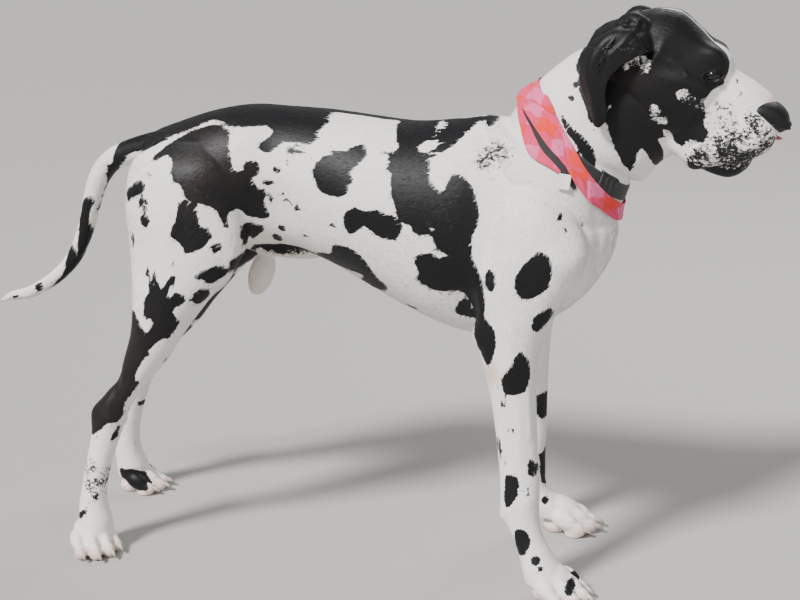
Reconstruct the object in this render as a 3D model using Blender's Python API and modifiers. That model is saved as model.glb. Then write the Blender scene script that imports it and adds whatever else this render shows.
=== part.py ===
"""A male great dane with a harlequin coat, standing square with its head a little lowered.

The dog faces +X, its left side is +Y and +Z is up. The origin lies on the ground under the middle of
the model's box. The body is lofted whole from a few tables of anatomical stations, fused, softened and
shaped by muscle bulges and skin creases, and then parted by thin cuts into head, neck, trunk, legs,
paws and tail. Ears, eyes, nose, claws, collar and neckerchief are pieces of their own.
"""

import math

import bmesh
import bpy
import numpy as np
from mathutils import Matrix, Vector
from mathutils.bvhtree import BVHTree

# Driving dimensions, in metres. The tables below are drawn for a dog of this height at the withers.
WITHERS_HEIGHT = 0.84
DRAWN_HEIGHT = 0.84
SCALE = WITHERS_HEIGHT / DRAWN_HEIGHT

GAP = 0.0003  # clearance between pieces that touch
VOXEL = 0.0042  # grain at which the lofts are fused
BODY_TRIANGLES = (17000, 7000)  # after an even thinning, and after a second one that spares the face
FACE_SIDE, FACE_START = np.array([0.95, 0, 0.31]), 0.82  # the face lies further than this along this way
EYE_RADIUS = 0.0125
HEAD_PITCH = math.radians(27)  # how far the head's long axis points down
HEAD_ORIGIN = (0.50, 0.93)  # x and z of the point between the ears from which the head is drawn

SIDE = np.array([0.0, 1.0, 0.0])
FORWARD = np.array([1.0, 0.0, 0.0])
UPWARD = np.array([0.0, 0.0, 1.0])

# Each station is one cross-section: its middle (x, y, z), its half width, how far it reaches to the
# positive and to the negative side of the loft's second axis, and how full its two ends are: 1 is an
# ellipse, less is boxier and more comes to a ridge.
TORSO = [
    # x, y, z, half width, up, down, top fullness, bottom fullness
    (-0.368, 0, 0.705, 0.020, 0.030, 0.030, 1.0, 1.0),  # buttocks
    (-0.345, 0, 0.700, 0.070, 0.080, 0.080, 1.0, 1.0),
    (-0.290, 0, 0.700, 0.105, 0.105, 0.120, 1.0, 1.0),  # croup
    (-0.220, 0, 0.710, 0.122, 0.118, 0.140, 0.9, 1.0),
    (-0.150, 0, 0.720, 0.118, 0.120, 0.142, 0.85, 1.0),  # hips
    (-0.080, 0, 0.725, 0.108, 0.114, 0.143, 0.85, 1.0),  # loin and flank
    (0.000, 0, 0.712, 0.116, 0.124, 0.156, 0.9, 1.0),
    (0.080, 0, 0.690, 0.131, 0.138, 0.175, 0.95, 1.0),  # last ribs
    (0.160, 0, 0.665, 0.141, 0.157, 0.190, 1.0, 1.0),
    (0.240, 0, 0.645, 0.143, 0.185, 0.200, 1.1, 1.0),  # girth
    (0.300, 0, 0.640, 0.138, 0.198, 0.200, 1.2, 1.0),  # withers above, brisket below
    (0.360, 0, 0.635, 0.130, 0.190, 0.185, 1.2, 1.0),
    (0.420, 0, 0.630, 0.115, 0.150, 0.150, 1.0, 1.0),
    (0.470, 0, 0.630, 0.092, 0.105, 0.110, 1.0, 1.0),
    (0.505, 0, 0.632, 0.055, 0.060, 0.065, 1.0, 1.0),
    (0.522, 0, 0.635, 0.018, 0.020, 0.022, 1.0, 1.0),  # point of the breastbone
]
NECK = [
    # x, y, z, half width, nape, throat, nape fullness, throat fullness
    (0.300, 0, 0.655, 0.080, 0.120, 0.120, 1.1, 1.0),
    (0.380, 0, 0.705, 0.112, 0.160, 0.160, 1.1, 1.0),
    (0.428, 0, 0.752, 0.100, 0.137, 0.122, 1.05, 1.0),
    (0.453, 0, 0.800, 0.086, 0.124, 0.100, 1.0, 1.0),  # collar
    (0.484, 0, 0.832, 0.079, 0.122, 0.122, 1.0, 1.0),
    (0.517, 0, 0.862, 0.076, 0.118, 0.124, 1.0, 1.0),
    (0.552, 0, 0.890, 0.070, 0.105, 0.122, 1.0, 1.0),
    (0.585, 0, 0.915, 0.055, 0.080, 0.080, 1.0, 1.0),
]
# The head's stations use its own axes: along the head, across, and up from the axis.
SKULL = [
    # along, across, up, half width, to the crown, to the jaw, crown fullness, jaw fullness
    (-0.048, 0, 0.020, 0.030, 0.025, 0.030, 1.0, 1.0),
    (-0.030, 0, 0.020, 0.056, 0.050, 0.060, 1.0, 1.0),  # occiput
    (0.000, 0, 0.025, 0.070, 0.080, 0.075, 0.95, 1.0),
    (0.030, 0, 0.030, 0.077, 0.100, 0.085, 0.9, 1.0),
    (0.065, 0, 0.032, 0.079, 0.111, 0.090, 0.85, 1.0),  # crown
    (0.100, 0, 0.030, 0.078, 0.106, 0.095, 0.8, 1.0),
    (0.135, 0, 0.025, 0.073, 0.101, 0.096, 0.75, 1.0),
    (0.165, 0, 0.020, 0.066, 0.100, 0.090, 0.75, 1.0),  # brow
    (0.185, 0, 0.015, 0.055, 0.096, 0.080, 0.8, 1.0),
    (0.205, 0, 0.010, 0.040, 0.080, 0.060, 1.0, 1.0),  # stop
]
MUZZLE = [
    # along, across, up, half width, to the bridge, to the lip, bridge fullness, lip fullness
    (0.110, 0, 0.020, 0.050, 0.070, 0.070, 1.0, 0.8),
    (0.150, 0, 0.012, 0.058, 0.095, 0.080, 1.15, 0.7),
    (0.185, 0, 0.000, 0.057, 0.108, 0.080, 1.2, 0.6),
    (0.212, 0, -0.008, 0.056, 0.110, 0.077, 1.2, 0.55),  # corner of the mouth
    (0.240, 0, -0.004, 0.055, 0.101, 0.060, 1.35, 0.55),
    (0.266, 0, 0.008, 0.052, 0.084, 0.054, 1.7, 0.55),
    (0.282, 0, 0.014, 0.048, 0.068, 0.046, 2.2, 0.6),
    (0.296, 0, 0.020, 0.038, 0.050, 0.034, 2.2, 0.8),
    (0.306, 0, 0.024, 0.022, 0.030, 0.022, 1.6, 1.0),
]
JAW = [
    # along, across, up, half width, up, down, top fullness, bottom fullness
    (0.060, 0, -0.020, 0.040, 0.040, 0.040, 1.0, 1.0),
    (0.100, 0, -0.028, 0.050, 0.050, 0.048, 1.0, 1.0),
    (0.150, 0, -0.036, 0.047, 0.050, 0.044, 1.0, 0.9),
    (0.200, 0, -0.046, 0.041, 0.045, 0.034, 1.0, 0.8),
    (0.240, 0, -0.046, 0.037, 0.040, 0.031, 1.0, 0.7),
    (0.268, 0, -0.040, 0.033, 0.034, 0.031, 1.0, 0.7),
    (0.284, 0, -0.032, 0.026, 0.022, 0.026, 1.0, 0.8),
    (0.293, 0, -0.028, 0.012, 0.010, 0.012, 1.0, 1.0),
]
# Leg stations are level slices, drawn for the right side, where y is negative.
FORELEG = [
    # x, y, z, half width, front, back, front fullness, back fullness
    (0.375, -0.070, 0.745, 0.035, 0.040, 0.040, 1.0, 1.0),
    (0.385, -0.090, 0.690, 0.052, 0.075, 0.075, 1.0, 1.0),  # shoulder blade
    (0.395, -0.100, 0.630, 0.056, 0.088, 0.100, 1.0, 1.0),  # point of the shoulder
    (0.385, -0.108, 0.570, 0.054, 0.078, 0.098, 1.0, 1.0),
    (0.370, -0.114, 0.515, 0.049, 0.066, 0.078, 1.0, 1.0),  # upper arm
    (0.358, -0.119, 0.470, 0.043, 0.057, 0.062, 1.0, 1.0),  # elbow
    (0.357, -0.122, 0.425, 0.040, 0.050, 0.050, 1.0, 1.0),
    (0.364, -0.126, 0.360, 0.035, 0.043, 0.041, 1.0, 1.0),  # forearm
    (0.371, -0.130, 0.300, 0.031, 0.039, 0.038, 1.0, 1.0),
    (0.377, -0.134, 0.240, 0.0285, 0.037, 0.037, 1.0, 1.0),
    (0.380, -0.137, 0.195, 0.0300, 0.037, 0.036, 0.9, 1.0),
    (0.381, -0.139, 0.160, 0.0315, 0.036, 0.036, 0.9, 1.0),  # wrist
    (0.386, -0.142, 0.135, 0.0290, 0.033, 0.031, 0.9, 1.0),
    (0.397, -0.146, 0.108, 0.0290, 0.031, 0.028, 0.9, 1.0),  # pastern
    (0.411, -0.150, 0.080, 0.0335, 0.034, 0.030, 0.9, 1.0),
    (0.424, -0.154, 0.054, 0.0400, 0.038, 0.036, 0.9, 1.0),
    (0.430, -0.156, 0.030, 0.0380, 0.030, 0.036, 1.0, 1.0),
]
HINDLEG = [
    # x, y, z, half width, front, back, front fullness, back fullness
    (-0.215, -0.060, 0.790, 0.035, 0.050, 0.085, 1.0, 1.0),
    (-0.225, -0.078, 0.740, 0.060, 0.085, 0.128, 1.0, 1.0),  # hip
    (-0.237, -0.086, 0.670, 0.068, 0.106, 0.130, 1.0, 1.0),
    (-0.238, -0.093, 0.605, 0.067, 0.106, 0.122, 1.0, 1.0),  # thigh
    (-0.254, -0.101, 0.548, 0.061, 0.092, 0.101, 0.9, 1.0),  # stifle
    (-0.280, -0.108, 0.490, 0.052, 0.071, 0.073, 0.9, 1.0),
    (-0.306, -0.114, 0.432, 0.042, 0.054, 0.052, 1.0, 1.0),  # second thigh
    (-0.328, -0.118, 0.385, 0.035, 0.046, 0.043, 1.0, 1.0),
    (-0.355, -0.121, 0.340, 0.029, 0.035, 0.033, 1.0, 1.0),
    (-0.378, -0.123, 0.310, 0.027, 0.034, 0.032, 1.0, 1.1),
    (-0.398, -0.125, 0.281, 0.0265, 0.036, 0.034, 1.0, 1.2),  # hock
    (-0.408, -0.127, 0.255, 0.0265, 0.036, 0.034, 1.0, 1.2),
    (-0.414, -0.129, 0.228, 0.0260, 0.031, 0.029, 1.0, 1.0),
    (-0.427, -0.133, 0.180, 0.0235, 0.027, 0.026, 1.0, 1.0),  # hind pastern
    (-0.438, -0.138, 0.130, 0.0235, 0.026, 0.025, 1.0, 1.0),
    (-0.441, -0.143, 0.092, 0.0280, 0.029, 0.028, 1.0, 1.0),
    (-0.437, -0.148, 0.060, 0.0350, 0.034, 0.032, 1.0, 1.0),
    (-0.433, -0.151, 0.032, 0.0360, 0.032, 0.034, 1.0, 1.0),
]
TAIL = [
    # x, y, z, half width, under, over, under fullness, over fullness
    (-0.290, 0, 0.765, 0.045, 0.035, 0.030, 1.0, 1.0),
    (-0.345, 0, 0.753, 0.035, 0.032, 0.029, 1.0, 1.0),
    (-0.385, 0, 0.744, 0.027, 0.026, 0.025, 1.0, 1.0),
    (-0.425, 0, 0.727, 0.023, 0.0225, 0.0225, 1.0, 1.0),
    (-0.455, 0, 0.695, 0.021, 0.0215, 0.0215, 1.0, 1.0),
    (-0.475, 0, 0.645, 0.019, 0.0195, 0.0195, 1.0, 1.0),
    (-0.491, 0, 0.591, 0.017, 0.0175, 0.0175, 1.0, 1.0),
    (-0.518, 0, 0.534, 0.0155, 0.016, 0.016, 1.0, 1.0),
    (-0.560, 0, 0.490, 0.0145, 0.0145, 0.0145, 1.0, 1.0),
    (-0.614, 0, 0.457, 0.0125, 0.013, 0.013, 1.0, 1.0),
    (-0.655, 0, 0.446, 0.0095, 0.010, 0.010, 1.0, 1.0),
    (-0.681, 0, 0.434, 0.004, 0.004, 0.004, 1.0, 1.0),
]
# How far each left foot stands behind the right one, and the heights between which its leg swings back.
FORE_STAGGER, FORE_SWING = 0.041, (0.60, 0.18)
HIND_STAGGER, HIND_SWING = 0.052, (0.62, 0.25)
LEFT_PASTERN = 0.019  # how far back the left fore pastern stands, most at the height below
LEFT_PASTERN_HEIGHT, LEFT_PASTERN_REACH = 0.085, 0.034
# Each paw's middle on the ground, how far its toes turn out in degrees, and its size beside a forepaw.
PAWS = {
    "forepaw_right": ((0.452, -0.160), 25, 1.0),
    "forepaw_left": ((0.415, 0.156), 5, 1.0),
    "hindpaw_right": ((-0.437, -0.163), 42, 0.92),
    "hindpaw_left": ((-0.475, 0.155), 10, 0.92),
}
# Toes of a paw, in its own axes: ahead, outwards and up, and how far each splays.
TOES = {
    "inner": (-0.016, -0.0360, -9),
    "inner_mid": (0.004, -0.0135, -2),
    "outer_mid": (0.004, 0.0135, 2),
    "outer": (-0.016, 0.0360, 9),
}


def spline(rows, count):
    """Rows read off at equal steps of a smooth curve through the given rows (Catmull-Rom)."""
    rows = np.asarray(rows, float)
    padded = np.vstack([2 * rows[0] - rows[1], rows, 2 * rows[-1] - rows[-2]])
    steps = np.linspace(0, len(rows) - 1, count)
    first = np.minimum(steps.astype(int), len(rows) - 2)
    t = (steps - first)[:, None]
    a, b, c, d = (padded[first + k] for k in range(4))
    return 0.5 * (2 * b + (c - a) * t + (2 * a - 5 * b + 4 * c - d) * t**2 + (3 * b - a - 3 * c + d) * t**3)


def mesh_object(name, points, faces, collection):
    mesh = bpy.data.meshes.new(name)
    mesh.from_pydata(np.asarray(points, float).tolist(), [], faces)
    mesh.update()
    obj = bpy.data.objects.new(name, mesh)
    collection.objects.link(obj)
    return obj


def tube_faces(rings, segments):
    """Quads between neighbouring rings, and a fan at each end round one added point."""
    faces = []
    for r in range(rings - 1):
        for s in range(segments):
            t = (s + 1) % segments
            a, b = r * segments, (r + 1) * segments
            faces.append((a + s, a + t, b + t, b + s))
    start, end, last = rings * segments, rings * segments + 1, (rings - 1) * segments
    for s in range(segments):
        t = (s + 1) % segments
        faces.append((start, t, s))
        faces.append((end, last + s, last + t))
    return faces


def loft_points(stations, rings, segments, rise=None):
    """Cross-sections along the stations. The second axis is rise, or else square to the path and to SIDE."""
    rows = spline(stations, rings)
    middle, width, up, down, full_up, full_down = rows[:, :3], *rows[:, 3:8].T
    if rise is None:
        tangent = np.gradient(middle, axis=0)
        lift = np.cross(tangent, SIDE)
        lift /= np.linalg.norm(lift, axis=1, keepdims=True)
    else:
        lift = np.repeat(np.asarray(rise, float)[None], rings, 0)
    angle = np.linspace(0, 2 * math.pi, segments, endpoint=False)
    sine, cosine = np.sin(angle), np.cos(angle)
    upper = cosine > 0
    power = np.where(upper, full_up[:, None], full_down[:, None])
    across = width[:, None] * np.sign(sine) * np.abs(sine) ** power
    along = np.where(upper, up[:, None], down[:, None]) * cosine
    ring = middle[:, None] + across[..., None] * SIDE + along[..., None] * lift[:, None]
    return np.vstack([ring.reshape(-1, 3), middle[0], middle[-1]])


def loft(name, stations, collection, rings=48, segments=40, rise=None, place=None):
    points = loft_points(stations, rings, segments, rise)
    if place is not None:
        points = place(points)
    obj = mesh_object(name, points, tube_faces(rings, segments), collection)
    face_outwards(obj)
    return obj


def face_outwards(obj):
    """Triangles, so that a copy and its original bend alike, that all face out."""
    work = bmesh.new()
    work.from_mesh(obj.data)
    bmesh.ops.triangulate(work, faces=work.faces)
    bmesh.ops.recalc_face_normals(work, faces=work.faces)
    work.to_mesh(obj.data)
    work.free()


def head_to_body(points):
    """Points in the head's axes, along, across and up, as points of the whole model."""
    points = np.asarray(points, float)
    ahead = np.array([math.cos(HEAD_PITCH), 0, -math.sin(HEAD_PITCH)])
    above = np.array([math.sin(HEAD_PITCH), 0, math.cos(HEAD_PITCH)])
    origin = np.array([HEAD_ORIGIN[0], 0, HEAD_ORIGIN[1]])
    return origin + points[..., :1] * ahead + points[..., 1:2] * SIDE + points[..., 2:3] * above


def mirrored(points):
    return points * np.array([1, -1, 1])


def left_leg(points, stagger, swing):
    """The right leg's points for the left side, where the leg swings back below the swing's upper height."""
    back = stagger * np.clip((swing[0] - points[:, 2]) / (swing[0] - swing[1]), 0, 1)
    if stagger == FORE_STAGGER:
        back += LEFT_PASTERN * np.exp(-(((points[:, 2] - LEFT_PASTERN_HEIGHT) / LEFT_PASTERN_REACH) ** 2))
    return mirrored(points) - np.outer(back, FORWARD)


def turned(angles):
    """The matrix that turns about X, then Y, then Z by the given angles."""
    x, y, z = angles
    return np.array(Matrix.Rotation(z, 3, "Z") @ Matrix.Rotation(y, 3, "Y") @ Matrix.Rotation(x, 3, "X"))


def ellipsoid(name, centre, radii, collection, turn=(0, 0, 0), place=None, rings=16, segments=20):
    lat = np.linspace(0, math.pi, rings + 2)[1:-1]
    lon = np.linspace(0, 2 * math.pi, segments, endpoint=False)
    ring = np.stack([
        np.outer(np.cos(lat), np.ones(segments)),
        np.outer(np.sin(lat), np.cos(lon)),
        np.outer(np.sin(lat), np.sin(lon)),
    ], -1).reshape(-1, 3)
    points = np.vstack([ring, [1, 0, 0], [-1, 0, 0]]) * radii
    points = points @ turned(turn).T + centre
    if place is not None:
        points = place(points)
    obj = mesh_object(name, points, tube_faces(rings, segments), collection)
    face_outwards(obj)
    return obj


def paw_to_body(name):
    """A function that takes points in a paw's axes, ahead, outwards and up, to the whole model."""
    (x, y), turn, size = PAWS[name]
    out = -1 if name.endswith("right") else 1
    angle = math.radians(turn)
    ahead = np.array([math.cos(angle), out * math.sin(angle), 0])
    outwards = np.array([-math.sin(angle), out * math.cos(angle), 0])

    def place(points):
        points = np.asarray(points, float) * size
        middle = np.array([x, y, 0])
        return middle + points[..., :1] * ahead + points[..., 1:2] * outwards + points[..., 2:3] * UPWARD

    return place


def paw(name, collection):
    """The fleshy lofts of one paw: its arch, heel pad, and for each toe a knuckle, a tip and a pad."""
    place = paw_to_body(name)
    made = [
        ellipsoid("arch", (-0.010, 0, 0.040), (0.044, 0.036, 0.028), collection, (0, 0.35, 0), place),
        ellipsoid("heel_pad", (-0.020, 0, 0.012), (0.027, 0.031, 0.017), collection, place=place),
    ]
    for ahead, outwards, splay in TOES.values():
        turn = math.radians(splay)
        made += [
            ellipsoid("knuckle", (ahead + 0.016, outwards, 0.031), (0.029, 0.0142, 0.0195), collection,
                      (0, 0.45, turn), place),
            ellipsoid("toe", (ahead + 0.039, outwards * 1.08, 0.0165), (0.0195, 0.0132, 0.0150), collection,
                      (0, 0.2, turn), place),
            ellipsoid("toe_pad", (ahead + 0.032, outwards * 1.05, 0.0080), (0.0180, 0.0122, 0.0095),
                      collection, (0, 0, turn), place),
        ]
    return made


def flesh(collection):
    """Every loft of the body, still overlapping."""
    made = [
        loft("trunk", TORSO, collection, 64, 56, rise=UPWARD),
        loft("neck", NECK, collection, 40, 48),
        loft("tail", TAIL, collection, 72, 24),
        loft("skull", SKULL, collection, 48, 48, rise=UPWARD, place=head_to_body),
        loft("muzzle", MUZZLE, collection, 48, 48, rise=UPWARD, place=head_to_body),
        loft("jaw", JAW, collection, 36, 36, rise=UPWARD, place=head_to_body),
    ]
    legs = (FORELEG, FORE_STAGGER, FORE_SWING), (HINDLEG, HIND_STAGGER, HIND_SWING)
    for stations, stagger, swing in legs:
        made.append(loft("leg", stations, collection, 96, 36, rise=FORWARD))
        made.append(loft("leg", stations, collection, 96, 36, rise=FORWARD,
                         place=lambda points, s=stagger, w=swing: left_leg(points, s, w)))
    for name in PAWS:
        made += paw(name, collection)
    for side in (-1, 1):
        centre = head_to_body((0.012, side * 0.050, 0.078))
        made.append(ellipsoid("ear_root", centre, (0.034, 0.022, 0.036), collection, (0, 0.3, 0)))
    made.append(ellipsoid("sheath", (-0.105, 0, 0.578), (0.095, 0.020, 0.022), collection, (0, 0.10, 0)))
    made.append(ellipsoid("sheath_tip", (-0.140, 0, 0.524), (0.025, 0.021, 0.047), collection, (0, 0.35, 0)))
    return made


def fused(parts, voxel, name, collection):
    """One closed surface round all the parts, meshed on a grid of the given grain."""
    work = bmesh.new()
    for part in parts:
        work.from_mesh(part.data)
    mesh = bpy.data.meshes.new(name)
    work.to_mesh(mesh)
    work.free()
    obj = bpy.data.objects.new(name, mesh)
    collection.objects.link(obj)
    for part in parts:
        bpy.data.objects.remove(part)
    remesh = obj.modifiers.new("fuse", "REMESH")
    remesh.mode = "VOXEL"
    remesh.voxel_size = voxel
    baked(obj)
    return obj


def baked(obj):
    """Takes the result of the object's modifiers as its own mesh."""
    bpy.context.view_layer.update()
    result = obj.evaluated_get(bpy.context.evaluated_depsgraph_get())
    mesh = bpy.data.meshes.new_from_object(result)
    obj.modifiers.clear()
    old = obj.data
    obj.data = mesh
    bpy.data.meshes.remove(old)
    return obj


def positions(obj):
    flat = np.empty(len(obj.data.vertices) * 3)
    obj.data.vertices.foreach_get("co", flat)
    return flat.reshape(-1, 3)


def normals(obj):
    flat = np.empty(len(obj.data.vertices) * 3)
    obj.data.vertices.foreach_get("normal", flat)
    return flat.reshape(-1, 3)


def set_positions(obj, points):
    obj.data.vertices.foreach_set("co", np.ascontiguousarray(points, float).ravel())
    obj.data.update()


def softened(obj, rounds):
    """Evens the surface out without shrinking it: a smoothing step and then a slightly larger reverse one."""
    edges = np.empty(len(obj.data.edges) * 2, int)
    obj.data.edges.foreach_get("vertices", edges)
    a, b = edges.reshape(-1, 2).T
    points = positions(obj)
    count = np.bincount(np.concatenate([a, b]), minlength=len(points))[:, None]
    for _ in range(rounds):
        for step in (0.6, -0.62):
            total = np.stack([
                np.bincount(a, points[b, k], len(points)) + np.bincount(b, points[a, k], len(points))
                for k in range(3)
            ], 1)
            points = points + step * (total / count - points)
    set_positions(obj, points)


def bulge(points, centre, radii):
    """How strongly a dab reaches each point: 1 at its centre, fading as a bell curve of the given radii."""
    away = (points - np.asarray(centre)) / np.asarray(radii)
    return np.exp(-(away**2).sum(1))


def stroke(points, path, width):
    """How strongly a stroke along a path reaches each point."""
    path = np.asarray(path, float)
    nearest = np.full(len(points), np.inf)
    for start, end in zip(path[:-1], path[1:]):
        along = end - start
        share = np.clip((points - start) @ along / (along @ along), 0, 1)
        nearest = np.minimum(nearest, ((points - start - share[:, None] * along) ** 2).sum(1))
    return np.exp(-nearest / width**2)


# Forms pressed on to the fused body's right side and mirrored to the left: where, the bell's three radii,
# and how far the skin moves out. The legs' own marks follow the swing of the left legs.
HEAD_DABS = [
    # along, across, up in the head's axes; radii; amount
    ((0.152, -0.046, 0.114), (0.024, 0.018, 0.017), 0.0140),  # brow
    ((0.150, 0.000, 0.130), (0.030, 0.010, 0.020), -0.0040),  # furrow between the brows
    ((0.196, 0.000, 0.106), (0.022, 0.018, 0.020), -0.0050),  # stop
    ((0.167, -0.060, 0.078), (0.020, 0.018, 0.016), -0.0045),  # eye socket
    ((0.195, -0.045, 0.075), (0.018, 0.016, 0.022), -0.0050),  # hollow before the eye
    ((0.130, -0.070, 0.052), (0.040, 0.020, 0.014), 0.0060),  # cheekbone
    ((0.105, -0.074, 0.095), (0.026, 0.020, 0.018), -0.0050),  # temple
    ((0.085, -0.070, 0.010), (0.040, 0.025, 0.040), 0.0060),  # cheek muscle
    ((0.060, 0.000, 0.146), (0.045, 0.010, 0.020), -0.0020),  # furrow of the crown
    ((-0.030, 0.000, 0.060), (0.020, 0.018, 0.020), 0.0040),  # occiput
    ((0.205, -0.050, 0.010), (0.034, 0.018, 0.026), -0.0030),  # hollow of the muzzle
    ((0.222, -0.054, -0.040), (0.030, 0.020, 0.032), 0.0050),  # hanging lip
    ((0.165, -0.050, -0.048), (0.022, 0.020, 0.022), -0.0060),  # behind the corner of the mouth
    ((0.280, -0.044, 0.018), (0.016, 0.016, 0.022), 0.0030),  # whisker pad
    ((0.045, -0.075, 0.060), (0.012, 0.020, 0.014), -0.0080),  # opening of the ear
    ((0.068, -0.078, 0.070), (0.008, 0.020, 0.024), 0.0045),  # rim before the ear's opening
]
BODY_DABS = [
    # x, y, z; radii; amount
    ((0.350, -0.115, 0.700), (0.020, 0.050, 0.080), 0.0050),  # ridge of the shoulder blade
    ((0.300, -0.120, 0.690), (0.030, 0.050, 0.060), -0.0040),
    ((0.465, -0.105, 0.612), (0.032, 0.045, 0.034), 0.0100),  # point of the shoulder
    ((0.318, -0.150, 0.560), (0.035, 0.045, 0.055), 0.0070),  # triceps
    ((0.300, -0.120, 0.470), (0.024, 0.040, 0.022), 0.0080),  # elbow
    ((0.270, -0.130, 0.520), (0.030, 0.050, 0.050), -0.0070),  # behind the elbow
    ((0.440, -0.070, 0.520), (0.030, 0.030, 0.050), 0.0050),  # breast muscle
    ((0.480, 0.000, 0.560), (0.050, 0.014, 0.080), -0.0060),  # cleft of the breast
    ((0.520, 0.000, 0.665), (0.025, 0.030, 0.025), 0.0040),  # tip of the breastbone
    ((0.562, 0.000, 0.733), (0.022, 0.024, 0.022), 0.0110),  # dewlap
    ((0.500, -0.050, 0.730), (0.040, 0.030, 0.060), -0.0060),  # hollow between neck and shoulder
    ((0.050, -0.140, 0.690), (0.090, 0.060, 0.080), 0.0040),  # last ribs
    ((-0.085, -0.110, 0.665), (0.060, 0.050, 0.055), -0.0090),  # flank
    ((-0.125, -0.085, 0.795), (0.030, 0.030, 0.022), 0.0060),  # hip bone
    ((-0.330, -0.060, 0.735), (0.025, 0.030, 0.030), 0.0060),  # seat bone
    ((-0.270, -0.120, 0.660), (0.060, 0.050, 0.070), 0.0050),  # thigh
    ((-0.150, -0.130, 0.600), (0.020, 0.050, 0.060), 0.0040),
    ((-0.178, -0.110, 0.535), (0.022, 0.040, 0.028), 0.0060),  # knee
    ((-0.290, -0.130, 0.500), (0.050, 0.030, 0.040), 0.0040),  # calf
    ((-0.385, -0.145, 0.318), (0.014, 0.022, 0.045), -0.0060),  # before the heel tendon
    ((-0.385, -0.100, 0.318), (0.014, 0.022, 0.045), -0.0060),
    ((-0.436, -0.125, 0.272), (0.016, 0.022, 0.018), 0.0050),  # point of the hock
    ((-0.392, -0.152, 0.262), (0.018, 0.012, 0.014), 0.0030),
    ((0.345, -0.139, 0.142), (0.012, 0.018, 0.012), 0.0090),  # pad behind the wrist
    ((0.352, -0.128, 0.250), (0.010, 0.014, 0.060), -0.0020),  # tendons of the forearm
]
CREASES = [
    # points in the head's axes; width; amount
    (((0.296, -0.020, -0.012), (0.284, -0.040, -0.026), (0.268, -0.047, -0.047), (0.242, -0.049, -0.064),
      (0.218, -0.050, -0.081), (0.204, -0.050, -0.080)), 0.0055, -0.0050),  # line of the mouth
    (((0.196, -0.052, -0.066), (0.188, -0.053, -0.048), (0.190, -0.056, -0.030)), 0.0050, -0.0050),
    (((0.312, 0.0, 0.036), (0.305, 0.0, 0.012)), 0.0040, -0.0030),  # groove under the nose
]
LEG_SPLIT_X = 0.10  # forelegs lie ahead of this, and hind legs behind it


def sculpted(obj):
    """Presses the dabs and creases into the fused body, on both sides."""
    points = positions(obj)
    outward = normals(obj)
    move = np.zeros(len(points))
    for side in (1, -1):
        same = points * np.array([1, side, 1])
        swung = same.copy()
        if side < 0:
            for ahead, stagger, swing in ((1, FORE_STAGGER, FORE_SWING), (-1, HIND_STAGGER, HIND_SWING)):
                leg = ahead * (same[:, 0] - LEG_SPLIT_X) > 0
                share = np.clip((swing[0] - same[:, 2]) / (swing[0] - swing[1]), 0, 1)
                swung[leg, 0] += (stagger * share)[leg]
        for centre, radii, amount in HEAD_DABS:
            offset = np.abs(np.asarray(head_to_body(centre)) - same) < 4 * max(radii)
            near = offset.all(1)
            move[near] += amount * head_bulge(same[near], centre, radii) * (0.5 if centre[1] == 0 else 1)
        for centre, radii, amount in BODY_DABS:
            move += amount * bulge(swung, centre, radii) * (0.5 if centre[1] == 0 else 1)
        for path, width, amount in CREASES:
            central = all(abs(p[1]) < 0.001 for p in path)
            move += amount * stroke(same, head_to_body(path), width) * (0.5 if central else 1)
    set_positions(obj, points + outward * move[:, None])


def head_bulge(points, centre, radii):
    """A dab whose radii lie along the head's own axes."""
    away = points - head_to_body(centre)
    ahead = np.array([math.cos(HEAD_PITCH), 0, -math.sin(HEAD_PITCH)])
    above = np.array([math.sin(HEAD_PITCH), 0, math.cos(HEAD_PITCH)])
    local = np.stack([away @ ahead, away[:, 1], away @ above], 1) / np.asarray(radii)
    return np.exp(-(local**2).sum(1))


def thinned(obj, first, second):
    """Fewer triangles: evenly to the first number, and then to the second with the face left alone."""
    for triangles in (first, second):
        decimate = obj.modifiers.new("thin", "DECIMATE")
        decimate.ratio = triangles / sum(len(face.vertices) - 2 for face in obj.data.polygons)
        decimate.use_collapse_triangulate = True
        if triangles == second:
            points = positions(obj)
            kept = points @ FACE_SIDE > FACE_START
            group = obj.vertex_groups.new(name="free")
            group.add(np.flatnonzero(~kept).tolist(), 1.0, "REPLACE")
            decimate.vertex_group = "free"
            decimate.vertex_group_factor = 1.0
        baked(obj)
    obj.vertex_groups.clear()
    return obj


def grown(obj, distance, name, collection):
    """A copy of an object, with its skin moved out."""
    mesh = obj.data.copy()
    copy = bpy.data.objects.new(name, mesh)
    collection.objects.link(copy)
    set_positions(copy, positions(obj) + normals(obj) * distance)
    return copy


def boolean(obj, tool, operation):
    cut = obj.modifiers.new(operation.lower(), "BOOLEAN")
    cut.operation = operation
    cut.solver = "EXACT"
    cut.object = tool
    return baked(obj)


def largest_piece(obj):
    """Keeps the biggest closed surface and drops crumbs that a cut has left."""
    work = bmesh.new()
    work.from_mesh(obj.data)
    work.verts.ensure_lookup_table()
    unseen = set(range(len(work.verts)))
    pieces = []
    while unseen:
        stack = [unseen.pop()]
        piece = set(stack)
        while stack:
            for edge in work.verts[stack.pop()].link_edges:
                for vert in edge.verts:
                    if vert.index in unseen:
                        unseen.remove(vert.index)
                        piece.add(vert.index)
                        stack.append(vert.index)
        pieces.append(piece)
    keep = max(pieces, key=len)
    bmesh.ops.delete(work, geom=[v for v in work.verts if v.index not in keep], context="VERTS")
    work.to_mesh(obj.data)
    work.free()
    return obj


def copy_of(obj, name, collection):
    copy = bpy.data.objects.new(name, obj.data.copy())
    collection.objects.link(copy)
    return copy


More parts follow.
